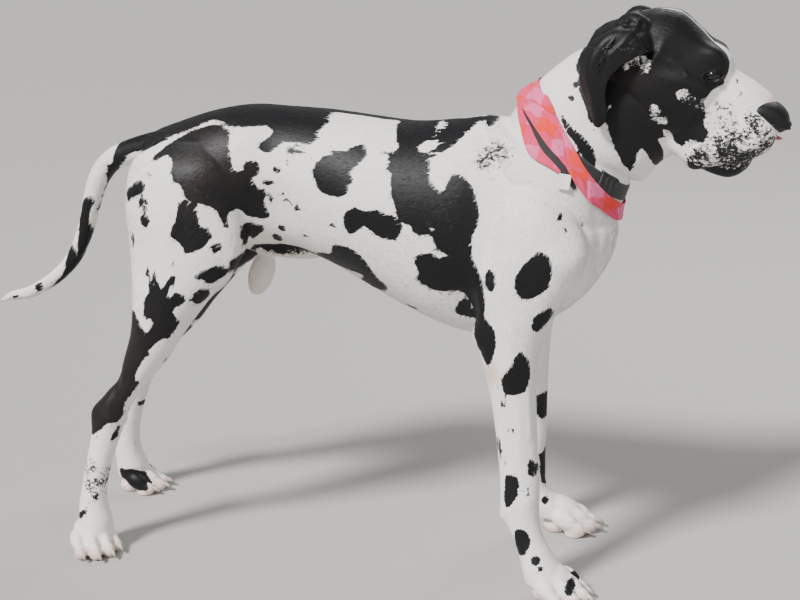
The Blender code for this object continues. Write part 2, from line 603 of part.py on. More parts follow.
def box(name, centre, size, turn, collection):
    """A box of the given size about its centre, turned by the three angles in degrees."""
    half = np.asarray(size) / 2
    corners = np.array([(x, y, z) for x in (-1, 1) for y in (-1, 1) for z in (-1, 1)]) * half
    rotation = turned([math.radians(a) for a in turn])
    faces = [(0, 1, 3, 2), (4, 6, 7, 5), (0, 4, 5, 1), (2, 3, 7, 6), (0, 2, 6, 4), (1, 5, 7, 3)]
    obj = mesh_object(name, corners @ rotation.T + np.asarray(centre), faces, collection)
    face_outwards(obj)
    return obj


def split_off(whole, name, cutter, collection, helpers):
    """Parts the piece inside the cutter from the whole, leaving the gap on the whole's side of the cut."""
    centre, size, turn = cutter
    inside = box("cutter_" + name, centre, size, turn, helpers)
    around = box("clear_" + name, centre, np.asarray(size) + 2 * GAP, turn, helpers)
    piece = boolean(copy_of(whole, name, collection), inside, "INTERSECT")
    boolean(whole, around, "DIFFERENCE")
    for tool in (inside, around):
        bpy.data.objects.remove(tool)
    return largest_piece(piece)


# The pieces that are cut from the body, in this order: centre, size and turn in degrees of the box that
# holds each. Boxes reach past the body, so that each cut shows one flat face.
CUTS = [
    ("forepaw_right", (0.455, -0.170, 0.000), (0.260, 0.180, 0.180), (0, 20, 0)),
    ("forepaw_left", (0.418, 0.170, 0.000), (0.260, 0.180, 0.180), (0, 20, 0)),
    ("hindpaw_right", (-0.440, -0.170, 0.000), (0.220, 0.180, 0.180), (0, 10, 0)),
    ("hindpaw_left", (-0.490, 0.170, 0.000), (0.220, 0.180, 0.180), (0, 10, 0)),
    ("foreleg_right", (0.370, -0.192, 0.250), (0.240, 0.240, 0.500), (-28, 0, 0)),
    ("foreleg_left", (0.340, 0.192, 0.250), (0.300, 0.240, 0.500), (28, 0, 0)),
    ("hindleg_right", (-0.365, -0.150, 0.200), (0.340, 0.290, 0.460), (0, -27, 0)),
    ("hindleg_left", (-0.400, 0.150, 0.200), (0.340, 0.290, 0.460), (0, -27, 0)),
    ("thigh_right", (-0.260, -0.270, 0.510), (0.310, 0.290, 0.500), (-42, 0, 0)),
    ("thigh_left", (-0.270, 0.270, 0.510), (0.310, 0.290, 0.500), (42, 0, 0)),
    ("tail", (-0.560, 0, 0.600), (0.300, 0.120, 0.500), (0, 20, 0)),
    ("head", (0.730, 0, 0.900), (0.360, 0.400, 0.500), (0, -18, 0)),
    ("neck", (0.560, 0, 0.930), (0.300, 0.400, 0.500), (0, 40, 0)),
]

# Rails of the right ear, from its root to its tip: the front edge, the fold between, and the rear edge.
EAR_FRONT = [
    (0.590, -0.060, 0.972), (0.575, -0.086, 0.965), (0.538, -0.100, 0.948), (0.514, -0.103, 0.922),
    (0.509, -0.102, 0.890), (0.513, -0.100, 0.866), (0.509, -0.098, 0.850),
]
EAR_FOLD = [
    (0.556, -0.062, 1.006), (0.538, -0.096, 1.000), (0.505, -0.110, 0.972), (0.490, -0.113, 0.935),
    (0.494, -0.111, 0.895), (0.498, -0.108, 0.866), (0.500, -0.103, 0.841),
]
EAR_REAR = [
    (0.516, -0.044, 0.985), (0.486, -0.074, 0.985), (0.469, -0.086, 0.960), (0.466, -0.092, 0.920),
    (0.477, -0.094, 0.885), (0.485, -0.095, 0.864), (0.490, -0.096, 0.850),
]
EAR_THICKNESS = 0.0050

# The collar and the neckerchief lie round the neck: a ring's middle, the way down it in the dog's
# midplane, and half its width at the throat, the sides and the nape.
COLLAR_MIDDLE, COLLAR_DOWN = (0.440, 0, 0.797), (0.749, 0, -0.663)
SCARF_MIDDLE, SCARF_DOWN = (0.437, 0, 0.793), (0.638, 0, -0.770)
COLLAR_HALF, COLLAR_THICKNESS = (0.0125, 0.0125, 0.0125), 0.0025
SCARF_HALF, SCARF_THICKNESS = (0.012, 0.022, 0.031), 0.0060
SCARF_END_MIDDLE, SCARF_END_HALF, SCARF_END_ARC = (0.414, 0, 0.773), (0.008, 0.011, 0.005), (3.25, 4.95)
BUCKLE_HALF, BUCKLE_THICKNESS, BUCKLE_ARC = (0.0160, 0.0160, 0.0160), 0.0030, (5.55, 5.92)
LABEL_MIDDLE, LABEL_SIZE, LABEL_TURN = (0.438, 0.764), (0.022, 0.0016, 0.026), (-16, 8, 6)
LABEL_LIFT = 0.0095  # how far off the skin the label's middle hangs, clear of the cloth
BAND_SINK = 0.002  # how deep a band's inner side lies before the body is cut from it
NOSE = [
    # along, across, up, half width, up, down, top fullness, bottom fullness
    (0.250, 0, 0.062, 0.014, 0.010, 0.008, 1.0, 1.0),
    (0.256, 0, 0.062, 0.0220, 0.0170, 0.0110, 0.95, 1.0),
    (0.266, 0, 0.062, 0.0275, 0.0225, 0.0160, 0.85, 1.0),
    (0.280, 0, 0.061, 0.0300, 0.0240, 0.0190, 0.8, 1.0),
    (0.294, 0, 0.060, 0.0290, 0.0225, 0.0200, 0.8, 1.0),
    (0.304, 0, 0.059, 0.0260, 0.0185, 0.0190, 0.85, 1.0),
    (0.3115, 0, 0.058, 0.0195, 0.0125, 0.0150, 0.9, 1.0),
    (0.3145, 0, 0.057, 0.0100, 0.0060, 0.0075, 1.0, 1.0),
]
EYE_MIDDLE = (0.1640, -0.0440, 0.0780)  # right eye, in the head's axes
EYE_TURN = 22  # how far ahead of square to the side an eye looks, in degrees
LID = 0.0034
LID_OPENING = (0.029, 0.0105)  # length and height


def ear(name, side, collection):
    """A leather sheet through three rails, thick in the middle and thin at its edges."""
    rows, columns = 12, 6
    front, fold, rear = (spline(rail, rows) for rail in (EAR_FRONT, EAR_FOLD, EAR_REAR))
    control = 2 * fold - (front + rear) / 2
    w = np.linspace(0, 1, columns)[None, :, None]
    middle = (1 - w) ** 2 * front[:, None] + 2 * w * (1 - w) * control[:, None] + w**2 * rear[:, None]
    outward = np.cross(np.gradient(middle, axis=0), np.gradient(middle, axis=1))
    outward /= np.linalg.norm(outward, axis=2, keepdims=True) + 1e-12
    outward *= np.sign(outward[..., 1:2].mean()) * -1
    share = np.linspace(0, 1, rows)[:, None, None]
    half = EAR_THICKNESS / 2 * (0.35 + 0.65 * np.sqrt(4 * w * (1 - w))) * (1 - 0.45 * share)
    outer, inner = middle + half * outward, middle - half * outward
    points = np.concatenate([outer.reshape(-1, 3), inner.reshape(-1, 3)])
    faces = slab_faces(rows, columns, False)
    obj = mesh_object(name, points if side < 0 else mirrored(points), faces, collection)
    face_outwards(obj)
    return obj


def slab_faces(rows, columns, ring):
    """Quads of a sheet with two sides and closed edges. A ring joins its last row to its first."""
    back = rows * columns
    faces = []
    last = rows if ring else rows - 1
    for r in range(last):
        n = (r + 1) % rows
        for c in range(columns - 1):
            a, b = r * columns + c, n * columns + c
            faces.append((a, a + 1, b + 1, b))
            faces.append((back + b, back + b + 1, back + a + 1, back + a))
        for c in (0, columns - 1):
            a, b = r * columns + c, n * columns + c
            faces.append((a, b, back + b, back + a) if c == 0 else (b, a, back + a, back + b))
    if not ring:
        for r in (0, rows - 1):
            for c in range(columns - 1):
                a = r * columns + c
                edge = (a + 1, a, back + a, back + a + 1)
                faces.append(edge if r == 0 else edge[::-1])
    return faces


def bvh_of(obj):
    work = bmesh.new()
    work.from_mesh(obj.data)
    tree = BVHTree.FromBMesh(work)
    work.free()
    return tree


def round_neck(skin, middle, down, angles, across):
    """Points of the skin met from a ring's middle at the given angles, 0 at the throat, and the ways out."""
    down = Vector(down).normalized()
    sidewise = Vector(SIDE)
    along = down.cross(sidewise) * -1
    met, outward = [], []
    for angle, shift in zip(angles, across):
        way = down * math.cos(angle) + sidewise * math.sin(angle)
        start = Vector(middle) + along * shift
        hit = skin.ray_cast(start, way)[0]
        met.append(hit)
        outward.append(way)
    return np.array(met), np.array(outward)


def neck_band(name, skin, middle, down, half, lift, thickness, collection, rows=48, columns=4, arc=None):
    """A band round the neck, lifted off the skin, whose half width runs from throat to sides to nape."""
    start, end = arc if arc else (0.0, 2 * math.pi)
    angles = np.linspace(start, end, rows, endpoint=arc is not None)
    around = 0.5 - 0.5 * np.cos(angles)
    width = np.interp(around, [0, 0.5, 1], half)
    across = np.linspace(-1, 1, columns)
    a, v = np.meshgrid(angles, across, indexing="ij")
    met, outward = round_neck(skin, middle, down, a.ravel(), (v * width[:, None]).ravel())
    outer = met + outward * (lift + thickness)
    inner = met + outward * lift
    obj = mesh_object(name, np.vstack([outer, inner]), slab_faces(rows, columns, arc is None), collection)
    face_outwards(obj)
    return obj


def claw(name, place, toe, collection):
    """A curved, tapering claw on one toe."""
    ahead, outwards, splay = toe
    segments = 6
    rows = []
    for along, drop, width, height in ((0, 0, 0.0044, 0.0054), (0.012, -0.002, 0.0034, 0.0040),
                                       (0.020, -0.0080, 0.0010, 0.0012)):
        angle = np.linspace(0, 2 * math.pi, segments, endpoint=False)
        ring = np.stack([np.full(segments, along), width * np.cos(angle), drop + height * np.sin(angle)], 1)
        rows.append(ring)
    points = np.vstack(rows + [rows[0].mean(0), rows[-1].mean(0) + (0.001, 0, -0.001)])
    turn = math.radians(splay)
    spin = np.array([[math.cos(turn), -math.sin(turn), 0], [math.sin(turn), math.cos(turn), 0], [0, 0, 1]])
    points = points @ spin.T + np.array([ahead + 0.050, outwards * 1.09, 0.0175])
    obj = mesh_object(name, place(points), tube_faces(len(rows), segments), collection)
    face_outwards(obj)
    return obj


def lids_and_sockets(body, helpers):
    """Covers each eyeball with lids, hollows its socket and parts the lids."""
    for side in (-1, 1):
        centre = head_to_body(np.array(EYE_MIDDLE) * (1, -side, 1))
        lids = ellipsoid("lids", centre, [EYE_RADIUS + LID] * 3, helpers, rings=8, segments=14)
        boolean(body, lids, "UNION")
        socket = ellipsoid("socket", centre, [EYE_RADIUS + GAP] * 3, helpers, rings=8, segments=12)
        boolean(body, socket, "DIFFERENCE")
        turn = math.radians(EYE_TURN) * side
        length, height = np.array(LID_OPENING) / 2
        slit = ellipsoid("slit", centre + (0, side * 0.0105, -0.0005), (length, 0.0095, height), helpers,
                         (0, 0.05, -turn), rings=8, segments=10)
        boolean(body, slit, "DIFFERENCE")


def nose(collection, helpers):
    """The nose leather, with two comma shaped nostrils."""
    obj = loft("nose", NOSE, collection, 9, 20, rise=UPWARD, place=head_to_body)
    for side in (-1, 1):
        hole = ellipsoid("nostril", (0.3125, side * 0.0115, 0.0585), (0.0100, 0.0046, 0.0062), helpers,
                         (0, 0.1, side * 0.35), head_to_body, 5, 8)
        boolean(obj, hole, "DIFFERENCE")
        slit = ellipsoid("nostril_slit", (0.3020, side * 0.0225, 0.0535), (0.0115, 0.0052, 0.0019), helpers,
                         (0, 0.15, side * -0.75), head_to_body, 5, 8)
        boolean(obj, slit, "DIFFERENCE")
    return obj


def neckwear(skin, clear, collection, helpers):
    """The collar, its buckle, the neckerchief, its loose end and its label, each clear of what it lies on."""
    collar = neck_band("collar", skin, COLLAR_MIDDLE, COLLAR_DOWN, COLLAR_HALF, -BAND_SINK,
                       BAND_SINK + COLLAR_THICKNESS, collection, 32, 2)
    scarf = neck_band("neckerchief", skin, SCARF_MIDDLE, SCARF_DOWN, SCARF_HALF, -BAND_SINK,
                      BAND_SINK + SCARF_THICKNESS, collection, 36, 3)
    end = neck_band("neckerchief_end", skin, SCARF_END_MIDDLE, SCARF_DOWN, SCARF_END_HALF, -BAND_SINK,
                    BAND_SINK + 0.8 * SCARF_THICKNESS, collection, 12, 2, SCARF_END_ARC)
    buckle = neck_band("buckle", skin, COLLAR_MIDDLE, COLLAR_DOWN, BUCKLE_HALF, 0,
                       COLLAR_THICKNESS + BUCKLE_THICKNESS, collection, 6, 2, BUCKLE_ARC)
    x, z = LABEL_MIDDLE
    met = skin.ray_cast(Vector((x, -1, z)), Vector(SIDE))[0]
    label = box("label", (x, met.y - LABEL_LIFT, z), LABEL_SIZE, LABEL_TURN, collection)
    pieces = {
        "label": label, "buckle": buckle, "neckerchief_end": end, "neckerchief": scarf, "collar": collar,
    }
    clears = [clear] + [grown(piece, 2.5 * GAP, "clear_" + name, helpers) for name, piece in pieces.items()]
    for count, piece in enumerate(pieces.values()):
        for tool in [clears[0]] + clears[count + 2:]:
            boolean(piece, tool, "DIFFERENCE")
        largest_piece(piece)
    return pieces


COAT_FINISH = (0.80, 0.79, 0.76), 0.85  # colour and roughness
# What each piece is made of, by the first word of its name: the finish's name, colour and roughness.
FINISHES = {
    "claw": ("claw horn", (0.55, 0.48, 0.40), 0.45),
    "ear": ("black coat", (0.02, 0.02, 0.022), 0.70),
    "eye": ("wet eye", (0.03, 0.018, 0.012), 0.10),
    "nose": ("nose leather", (0.02, 0.02, 0.022), 0.35),
    "tongue": ("tongue", (0.62, 0.22, 0.24), 0.40),
    "collar": ("black webbing", (0.02, 0.02, 0.02), 0.60),
    "buckle": ("buckle plastic", (0.03, 0.03, 0.03), 0.35),
    "label": ("label cloth", (0.85, 0.85, 0.85), 0.80),
    "neckerchief": ("coral cloth", (0.80, 0.13, 0.16), 0.85),
}


def coloured(obj, material):
    obj.data.materials.clear()
    obj.data.materials.append(material)


def material(name, colour, roughness):
    made = bpy.data.materials.new(name)
    made.use_nodes = True
    shader = made.node_tree.nodes["Principled BSDF"]
    shader.inputs["Base Color"].default_value = (*colour, 1)
    shader.inputs["Roughness"].default_value = roughness
    return made


def main():
    for obj in list(bpy.data.objects):
        bpy.data.objects.remove(obj)
    dog = bpy.data.collections.new("great_dane")
    helpers = bpy.data.collections.new("cutters")
    bpy.context.scene.collection.children.link(dog)
    bpy.context.scene.collection.children.link(helpers)

    body = fused(flesh(helpers), VOXEL, "body", helpers)
    softened(body, 8)
    sculpted(body)
    thinned(body, *BODY_TRIANGLES)
    boolean(body, box("floor", (0, 0, 1), (3, 3, 2), (0, 0, 0), helpers), "INTERSECT")
    skin = bvh_of(body)
    lids_and_sockets(body, helpers)

    pieces = {"nose": nose(dog, helpers)}
    pieces["tongue"] = ellipsoid("tongue", (0.298, 0, 0.0265), (0.0225, 0.0150, 0.0042), dog, (0, -0.30, 0),
                                 head_to_body, 5, 12)
    boolean(pieces["tongue"], grown(pieces["nose"], GAP, "clear_nose", helpers), "DIFFERENCE")
    for name in ("nose", "tongue"):
        boolean(body, grown(pieces[name], GAP, "clear_" + name, helpers), "DIFFERENCE")
    for side, label in ((-1, "right"), (1, "left")):
        centre = head_to_body(np.array(EYE_MIDDLE) * (1, -side, 1))
        eye = ellipsoid("eye_" + label, centre, [EYE_RADIUS] * 3, dog, rings=8, segments=12)
        pieces["eye_" + label] = eye
        pieces["ear_" + label] = ear("ear_" + label, side, dog)
    for name in PAWS:
        place = paw_to_body(name)
        for toe, at in TOES.items():
            pieces[f"claw_{toe}_{name}"] = claw(f"claw_{toe}_{name}", place, at, dog)
    largest_piece(body)
    clear = grown(body, GAP, "clear_body", helpers)
    for name, piece in pieces.items():
        if name.startswith(("ear", "claw")):
            largest_piece(boolean(piece, clear, "DIFFERENCE"))

    pieces.update(neckwear(skin, clear, dog, helpers))
    for name, *cutter in CUTS:
        pieces[name] = split_off(body, name, cutter, dog, helpers)
    pieces["trunk"] = largest_piece(copy_of(body, "trunk", dog))

    low = np.min([positions(p).min(0) for p in pieces.values()], 0)
    high = np.max([positions(p).max(0) for p in pieces.values()], 0)
    shift = np.array([(low[0] + high[0]) / 2, (low[1] + high[1]) / 2, low[2]])
    coat = material("white coat", *COAT_FINISH)
    finishes = {start: material(*finish) for start, finish in FINISHES.items()}
    for name, piece in pieces.items():
        piece.name = name
        set_positions(piece, (positions(piece) - shift) * SCALE)
        start = name.split("_")[0]
        coloured(piece, finishes.get(start, coat))
    for helper in list(helpers.objects):
        bpy.data.objects.remove(helper)


if __name__ == "__main__":
    main()
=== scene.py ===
"""Looks of the great dane: skin, short coat, markings, eyes, nose, claws, collar and neckerchief.

Everything is drawn in the dog's own frame (nose to +X, left side to +Y) and then moved by SHIFT into
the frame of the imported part. The skin is lofted from the same anatomical stations as the part.
"""

import math

import bmesh
import bpy
import numpy as np
from mathutils import Matrix, Vector
from mathutils.bvhtree import BVHTree


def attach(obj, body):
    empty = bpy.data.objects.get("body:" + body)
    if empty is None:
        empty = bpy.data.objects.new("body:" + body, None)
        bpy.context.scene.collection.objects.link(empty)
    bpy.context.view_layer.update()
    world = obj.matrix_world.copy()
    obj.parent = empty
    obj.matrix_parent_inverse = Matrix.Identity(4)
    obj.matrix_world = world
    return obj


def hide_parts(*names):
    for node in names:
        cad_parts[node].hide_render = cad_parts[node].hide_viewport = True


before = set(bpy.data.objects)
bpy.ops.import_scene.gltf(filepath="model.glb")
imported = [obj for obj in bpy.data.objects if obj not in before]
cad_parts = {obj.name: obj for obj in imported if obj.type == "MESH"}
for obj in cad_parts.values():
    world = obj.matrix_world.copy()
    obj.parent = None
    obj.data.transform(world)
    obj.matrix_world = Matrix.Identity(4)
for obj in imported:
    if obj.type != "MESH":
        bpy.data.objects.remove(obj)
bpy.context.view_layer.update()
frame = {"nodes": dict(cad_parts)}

bl_info = {
    "name": "Great dane",
    "blender": (4, 5, 0),
    "version": (1, 0, 0),
    "location": "View3D > Sidebar > Great dane",
    "description": "Builds a life-size standing great dane in a harlequin coat, with collar and neckerchief",
    "category": "Object",
}

SHIFT = np.array([0.06470996, -0.00761295, 0.0])
SIDE, FORWARD, UPWARD = np.eye(3)[1], np.eye(3)[0], np.eye(3)[2]
HEAD_PITCH = math.radians(27)
HEAD_ORIGIN = np.array([0.50, 0.0, 0.93])
HEAD_AHEAD = np.array([math.cos(HEAD_PITCH), 0, -math.sin(HEAD_PITCH)])
HEAD_ABOVE = np.array([math.sin(HEAD_PITCH), 0, math.cos(HEAD_PITCH)])

# Stations: middle (x, y, z), half width, reach to either side of the second axis, and the two fullnesses.
TORSO = [
    (-0.368, 0, 0.705, 0.020, 0.030, 0.030, 1.0, 1.0), (-0.345, 0, 0.700, 0.070, 0.080, 0.080, 1.0, 1.0),
    (-0.290, 0, 0.700, 0.105, 0.105, 0.120, 1.0, 1.0), (-0.220, 0, 0.710, 0.122, 0.118, 0.140, 0.9, 1.0),
    (-0.150, 0, 0.720, 0.118, 0.120, 0.142, 0.85, 1.0), (-0.080, 0, 0.725, 0.108, 0.114, 0.143, 0.85, 1.0),
    (0.000, 0, 0.712, 0.116, 0.124, 0.156, 0.9, 1.0), (0.080, 0, 0.690, 0.131, 0.138, 0.175, 0.95, 1.0),
    (0.160, 0, 0.665, 0.141, 0.157, 0.190, 1.0, 1.0), (0.240, 0, 0.645, 0.143, 0.185, 0.200, 1.1, 1.0),
    (0.300, 0, 0.640, 0.138, 0.198, 0.200, 1.2, 1.0), (0.360, 0, 0.635, 0.130, 0.190, 0.185, 1.2, 1.0),
    (0.420, 0, 0.630, 0.115, 0.150, 0.150, 1.0, 1.0), (0.470, 0, 0.630, 0.092, 0.105, 0.110, 1.0, 1.0),
    (0.505, 0, 0.632, 0.055, 0.060, 0.065, 1.0, 1.0), (0.522, 0, 0.635, 0.018, 0.020, 0.022, 1.0, 1.0),
]
NECK = [
    (0.300, 0, 0.655, 0.080, 0.120, 0.120, 1.1, 1.0), (0.380, 0, 0.705, 0.112, 0.160, 0.160, 1.1, 1.0),
    (0.428, 0, 0.752, 0.100, 0.137, 0.122, 1.05, 1.0), (0.453, 0, 0.800, 0.086, 0.124, 0.100, 1.0, 1.0),
    (0.484, 0, 0.832, 0.079, 0.122, 0.122, 1.0, 1.0), (0.517, 0, 0.862, 0.076, 0.118, 0.124, 1.0, 1.0),
    (0.552, 0, 0.890, 0.070, 0.105, 0.122, 1.0, 1.0), (0.585, 0, 0.915, 0.055, 0.080, 0.080, 1.0, 1.0),
]
SKULL = [
    (-0.048, 0, 0.020, 0.030, 0.025, 0.030, 1.0, 1.0), (-0.030, 0, 0.020, 0.056, 0.050, 0.060, 1.0, 1.0),
    (0.000, 0, 0.025, 0.070, 0.080, 0.075, 0.95, 1.0), (0.030, 0, 0.030, 0.077, 0.100, 0.085, 0.9, 1.0),
    (0.065, 0, 0.032, 0.079, 0.111, 0.090, 0.85, 1.0), (0.100, 0, 0.030, 0.078, 0.106, 0.095, 0.8, 1.0),
    (0.135, 0, 0.025, 0.073, 0.101, 0.096, 0.75, 1.0), (0.165, 0, 0.020, 0.066, 0.100, 0.090, 0.75, 1.0),
    (0.185, 0, 0.015, 0.055, 0.096, 0.080, 0.8, 1.0), (0.205, 0, 0.010, 0.040, 0.080, 0.060, 1.0, 1.0),
]
MUZZLE = [
    (0.110, 0, 0.020, 0.050, 0.070, 0.070, 1.0, 0.8), (0.150, 0, 0.012, 0.058, 0.095, 0.080, 1.15, 0.7),
    (0.185, 0, 0.000, 0.057, 0.108, 0.080, 1.2, 0.6), (0.212, 0, -0.008, 0.056, 0.110, 0.077, 1.2, 0.55),
    (0.240, 0, -0.004, 0.055, 0.101, 0.060, 1.35, 0.55), (0.266, 0, 0.008, 0.052, 0.084, 0.054, 1.7, 0.55),
    (0.282, 0, 0.014, 0.048, 0.068, 0.046, 2.2, 0.6), (0.296, 0, 0.020, 0.038, 0.050, 0.034, 2.2, 0.8),
    (0.306, 0, 0.024, 0.022, 0.030, 0.022, 1.6, 1.0),
]
JAW = [
    (0.060, 0, -0.020, 0.040, 0.040, 0.040, 1.0, 1.0), (0.100, 0, -0.028, 0.050, 0.050, 0.048, 1.0, 1.0),
    (0.150, 0, -0.036, 0.047, 0.050, 0.044, 1.0, 0.9), (0.200, 0, -0.046, 0.041, 0.045, 0.034, 1.0, 0.8),
    (0.240, 0, -0.046, 0.037, 0.040, 0.031, 1.0, 0.7), (0.268, 0, -0.040, 0.033, 0.034, 0.031, 1.0, 0.7),
    (0.284, 0, -0.032, 0.026, 0.022, 0.026, 1.0, 0.8), (0.293, 0, -0.028, 0.012, 0.010, 0.012, 1.0, 1.0),
]
FORELEG = [
    (0.375, -0.070, 0.745, 0.035, 0.040, 0.040, 1.0, 1.0), (0.385, -0.090, 0.690, 0.052, 0.075, 0.075, 1.0, 1.0),
    (0.395, -0.100, 0.630, 0.056, 0.088, 0.100, 1.0, 1.0), (0.385, -0.108, 0.570, 0.054, 0.078, 0.098, 1.0, 1.0),
    (0.370, -0.114, 0.515, 0.049, 0.066, 0.078, 1.0, 1.0), (0.358, -0.119, 0.470, 0.043, 0.057, 0.062, 1.0, 1.0),
    (0.357, -0.122, 0.425, 0.040, 0.050, 0.050, 1.0, 1.0), (0.364, -0.126, 0.360, 0.035, 0.043, 0.041, 1.0, 1.0),
    (0.371, -0.130, 0.300, 0.031, 0.039, 0.038, 1.0, 1.0), (0.377, -0.134, 0.240, 0.0285, 0.037, 0.037, 1.0, 1.0),
    (0.380, -0.137, 0.195, 0.0300, 0.037, 0.036, 0.9, 1.0), (0.381, -0.139, 0.160, 0.0315, 0.036, 0.036, 0.9, 1.0),
    (0.386, -0.142, 0.135, 0.0290, 0.033, 0.031, 0.9, 1.0), (0.397, -0.146, 0.108, 0.0290, 0.031, 0.028, 0.9, 1.0),
    (0.411, -0.150, 0.080, 0.0335, 0.034, 0.030, 0.9, 1.0), (0.424, -0.154, 0.054, 0.0400, 0.038, 0.036, 0.9, 1.0),
    (0.430, -0.156, 0.030, 0.0380, 0.030, 0.036, 1.0, 1.0),
]
HINDLEG = [
    (-0.215, -0.060, 0.790, 0.035, 0.050, 0.085, 1.0, 1.0), (-0.225, -0.078, 0.740, 0.060, 0.085, 0.128, 1.0, 1.0),
    (-0.237, -0.086, 0.670, 0.068, 0.106, 0.130, 1.0, 1.0), (-0.238, -0.093, 0.605, 0.067, 0.106, 0.122, 1.0, 1.0),
    (-0.254, -0.101, 0.548, 0.061, 0.092, 0.101, 0.9, 1.0), (-0.280, -0.108, 0.490, 0.052, 0.071, 0.073, 0.9, 1.0),
    (-0.306, -0.114, 0.432, 0.042, 0.054, 0.052, 1.0, 1.0), (-0.328, -0.118, 0.385, 0.035, 0.046, 0.043, 1.0, 1.0),
    (-0.355, -0.121, 0.340, 0.029, 0.035, 0.033, 1.0, 1.0), (-0.378, -0.123, 0.310, 0.027, 0.034, 0.032, 1.0, 1.1),
    (-0.398, -0.125, 0.281, 0.0265, 0.036, 0.034, 1.0, 1.2), (-0.408, -0.127, 0.255, 0.0265, 0.036, 0.034, 1.0, 1.2),
    (-0.414, -0.129, 0.228, 0.0260, 0.031, 0.029, 1.0, 1.0), (-0.427, -0.133, 0.180, 0.0235, 0.027, 0.026, 1.0, 1.0),
    (-0.438, -0.138, 0.130, 0.0235, 0.026, 0.025, 1.0, 1.0), (-0.441, -0.143, 0.092, 0.0280, 0.029, 0.028, 1.0, 1.0),
    (-0.437, -0.148, 0.060, 0.0350, 0.034, 0.032, 1.0, 1.0), (-0.433, -0.151, 0.032, 0.0360, 0.032, 0.034, 1.0, 1.0),
]
TAIL = [
    (-0.290, 0, 0.765, 0.045, 0.035, 0.030, 1.0, 1.0), (-0.345, 0, 0.753, 0.035, 0.032, 0.029, 1.0, 1.0),
    (-0.385, 0, 0.744, 0.027, 0.026, 0.025, 1.0, 1.0), (-0.425, 0, 0.727, 0.023, 0.0225, 0.0225, 1.0, 1.0),
    (-0.455, 0, 0.695, 0.021, 0.0215, 0.0215, 1.0, 1.0), (-0.475, 0, 0.645, 0.019, 0.0195, 0.0195, 1.0, 1.0),
    (-0.491, 0, 0.591, 0.017, 0.0175, 0.0175, 1.0, 1.0), (-0.518, 0, 0.534, 0.0155, 0.016, 0.016, 1.0, 1.0),
    (-0.560, 0, 0.490, 0.0145, 0.0145, 0.0145, 1.0, 1.0), (-0.614, 0, 0.457, 0.0125, 0.013, 0.013, 1.0, 1.0),
    (-0.655, 0, 0.446, 0.0095, 0.010, 0.010, 1.0, 1.0), (-0.681, 0, 0.434, 0.004, 0.004, 0.004, 1.0, 1.0),
]
FORE_STAGGER, FORE_SWING = 0.041, (0.60, 0.18)
HIND_STAGGER, HIND_SWING = 0.052, (0.62, 0.25)
LEFT_PASTERN, LEFT_PASTERN_HEIGHT, LEFT_PASTERN_REACH = 0.019, 0.085, 0.034
PAWS = {
    "forepaw_right": ((0.452, -0.160), 25, 1.0),
    "forepaw_left": ((0.415, 0.156), 5, 1.0),
    "hindpaw_right": ((-0.437, -0.163), 42, 0.92),
    "hindpaw_left": ((-0.475, 0.155), 10, 0.92),
}
TOES = {
    "inner": (-0.016, -0.0360, -9),
    "inner_mid": (0.004, -0.0135, -2),
    "outer_mid": (0.004, 0.0135, 2),
    "outer": (-0.016, 0.0360, 9),
}


def spline(rows, count, closed=False):
    """Rows at equal steps of a smooth curve: Catmull-Rom, p(t) = (2b + (c-a)t + (2a-5b+4c-d)t^2 + (3b-a-3c+d)t^3) / 2."""
    rows = np.asarray(rows, float)
    if closed:
        padded = np.vstack([rows[-1:], rows, rows[:2]])
        steps = np.linspace(0, len(rows), count, endpoint=False)
        first = steps.astype(int)
    else:
        padded = np.vstack([2 * rows[0] - rows[1], rows, 2 * rows[-1] - rows[-2]])
        steps = np.linspace(0, len(rows) - 1, count)
        first = np.minimum(steps.astype(int), len(rows) - 2)
    t = (steps - first)[:, None]
    a, b, c, d = (padded[first + k] for k in range(4))
    return 0.5 * (2 * b + (c - a) * t + (2 * a - 5 * b + 4 * c - d) * t**2 + (3 * b - a - 3 * c + d) * t**3)


def piece_of(name, points, faces, smooth=True):
    """A mesh object from points in the dog's frame and faces, shaded smooth."""
    mesh = bpy.data.meshes.new(name)
    mesh.from_pydata((np.asarray(points, float) - SHIFT).tolist(), [], faces if isinstance(faces, list) else faces.tolist())
    mesh.update()
    mesh.polygons.foreach_set("use_smooth", np.full(len(mesh.polygons), smooth))
    obj = bpy.data.objects.new(name, mesh)
    bpy.context.scene.collection.objects.link(obj)
    return obj


def grid_faces(rows, columns, ring=False, closed=False):
    """Quads of a grid of rows by columns. ring joins the last column to the first, closed the last row to the first."""
    r = np.arange(rows if closed else rows - 1)[:, None]
    c = np.arange(columns if ring else columns - 1)[None]
    n, d = (r + 1) % rows, (c + 1) % columns
    return np.stack([r * columns + c, r * columns + d, n * columns + d, n * columns + c], -1).reshape(-1, 4)


def tube_faces(rings, segments):
    """Quads between neighbouring rings, and a fan at each end round one added point."""
    faces = grid_faces(rings, segments, ring=True).tolist()
    start, end, last = rings * segments, rings * segments + 1, (rings - 1) * segments
    for s in range(segments):
        t = (s + 1) % segments
        faces.append((start, t, s))
        faces.append((end, last + s, last + t))
    return faces


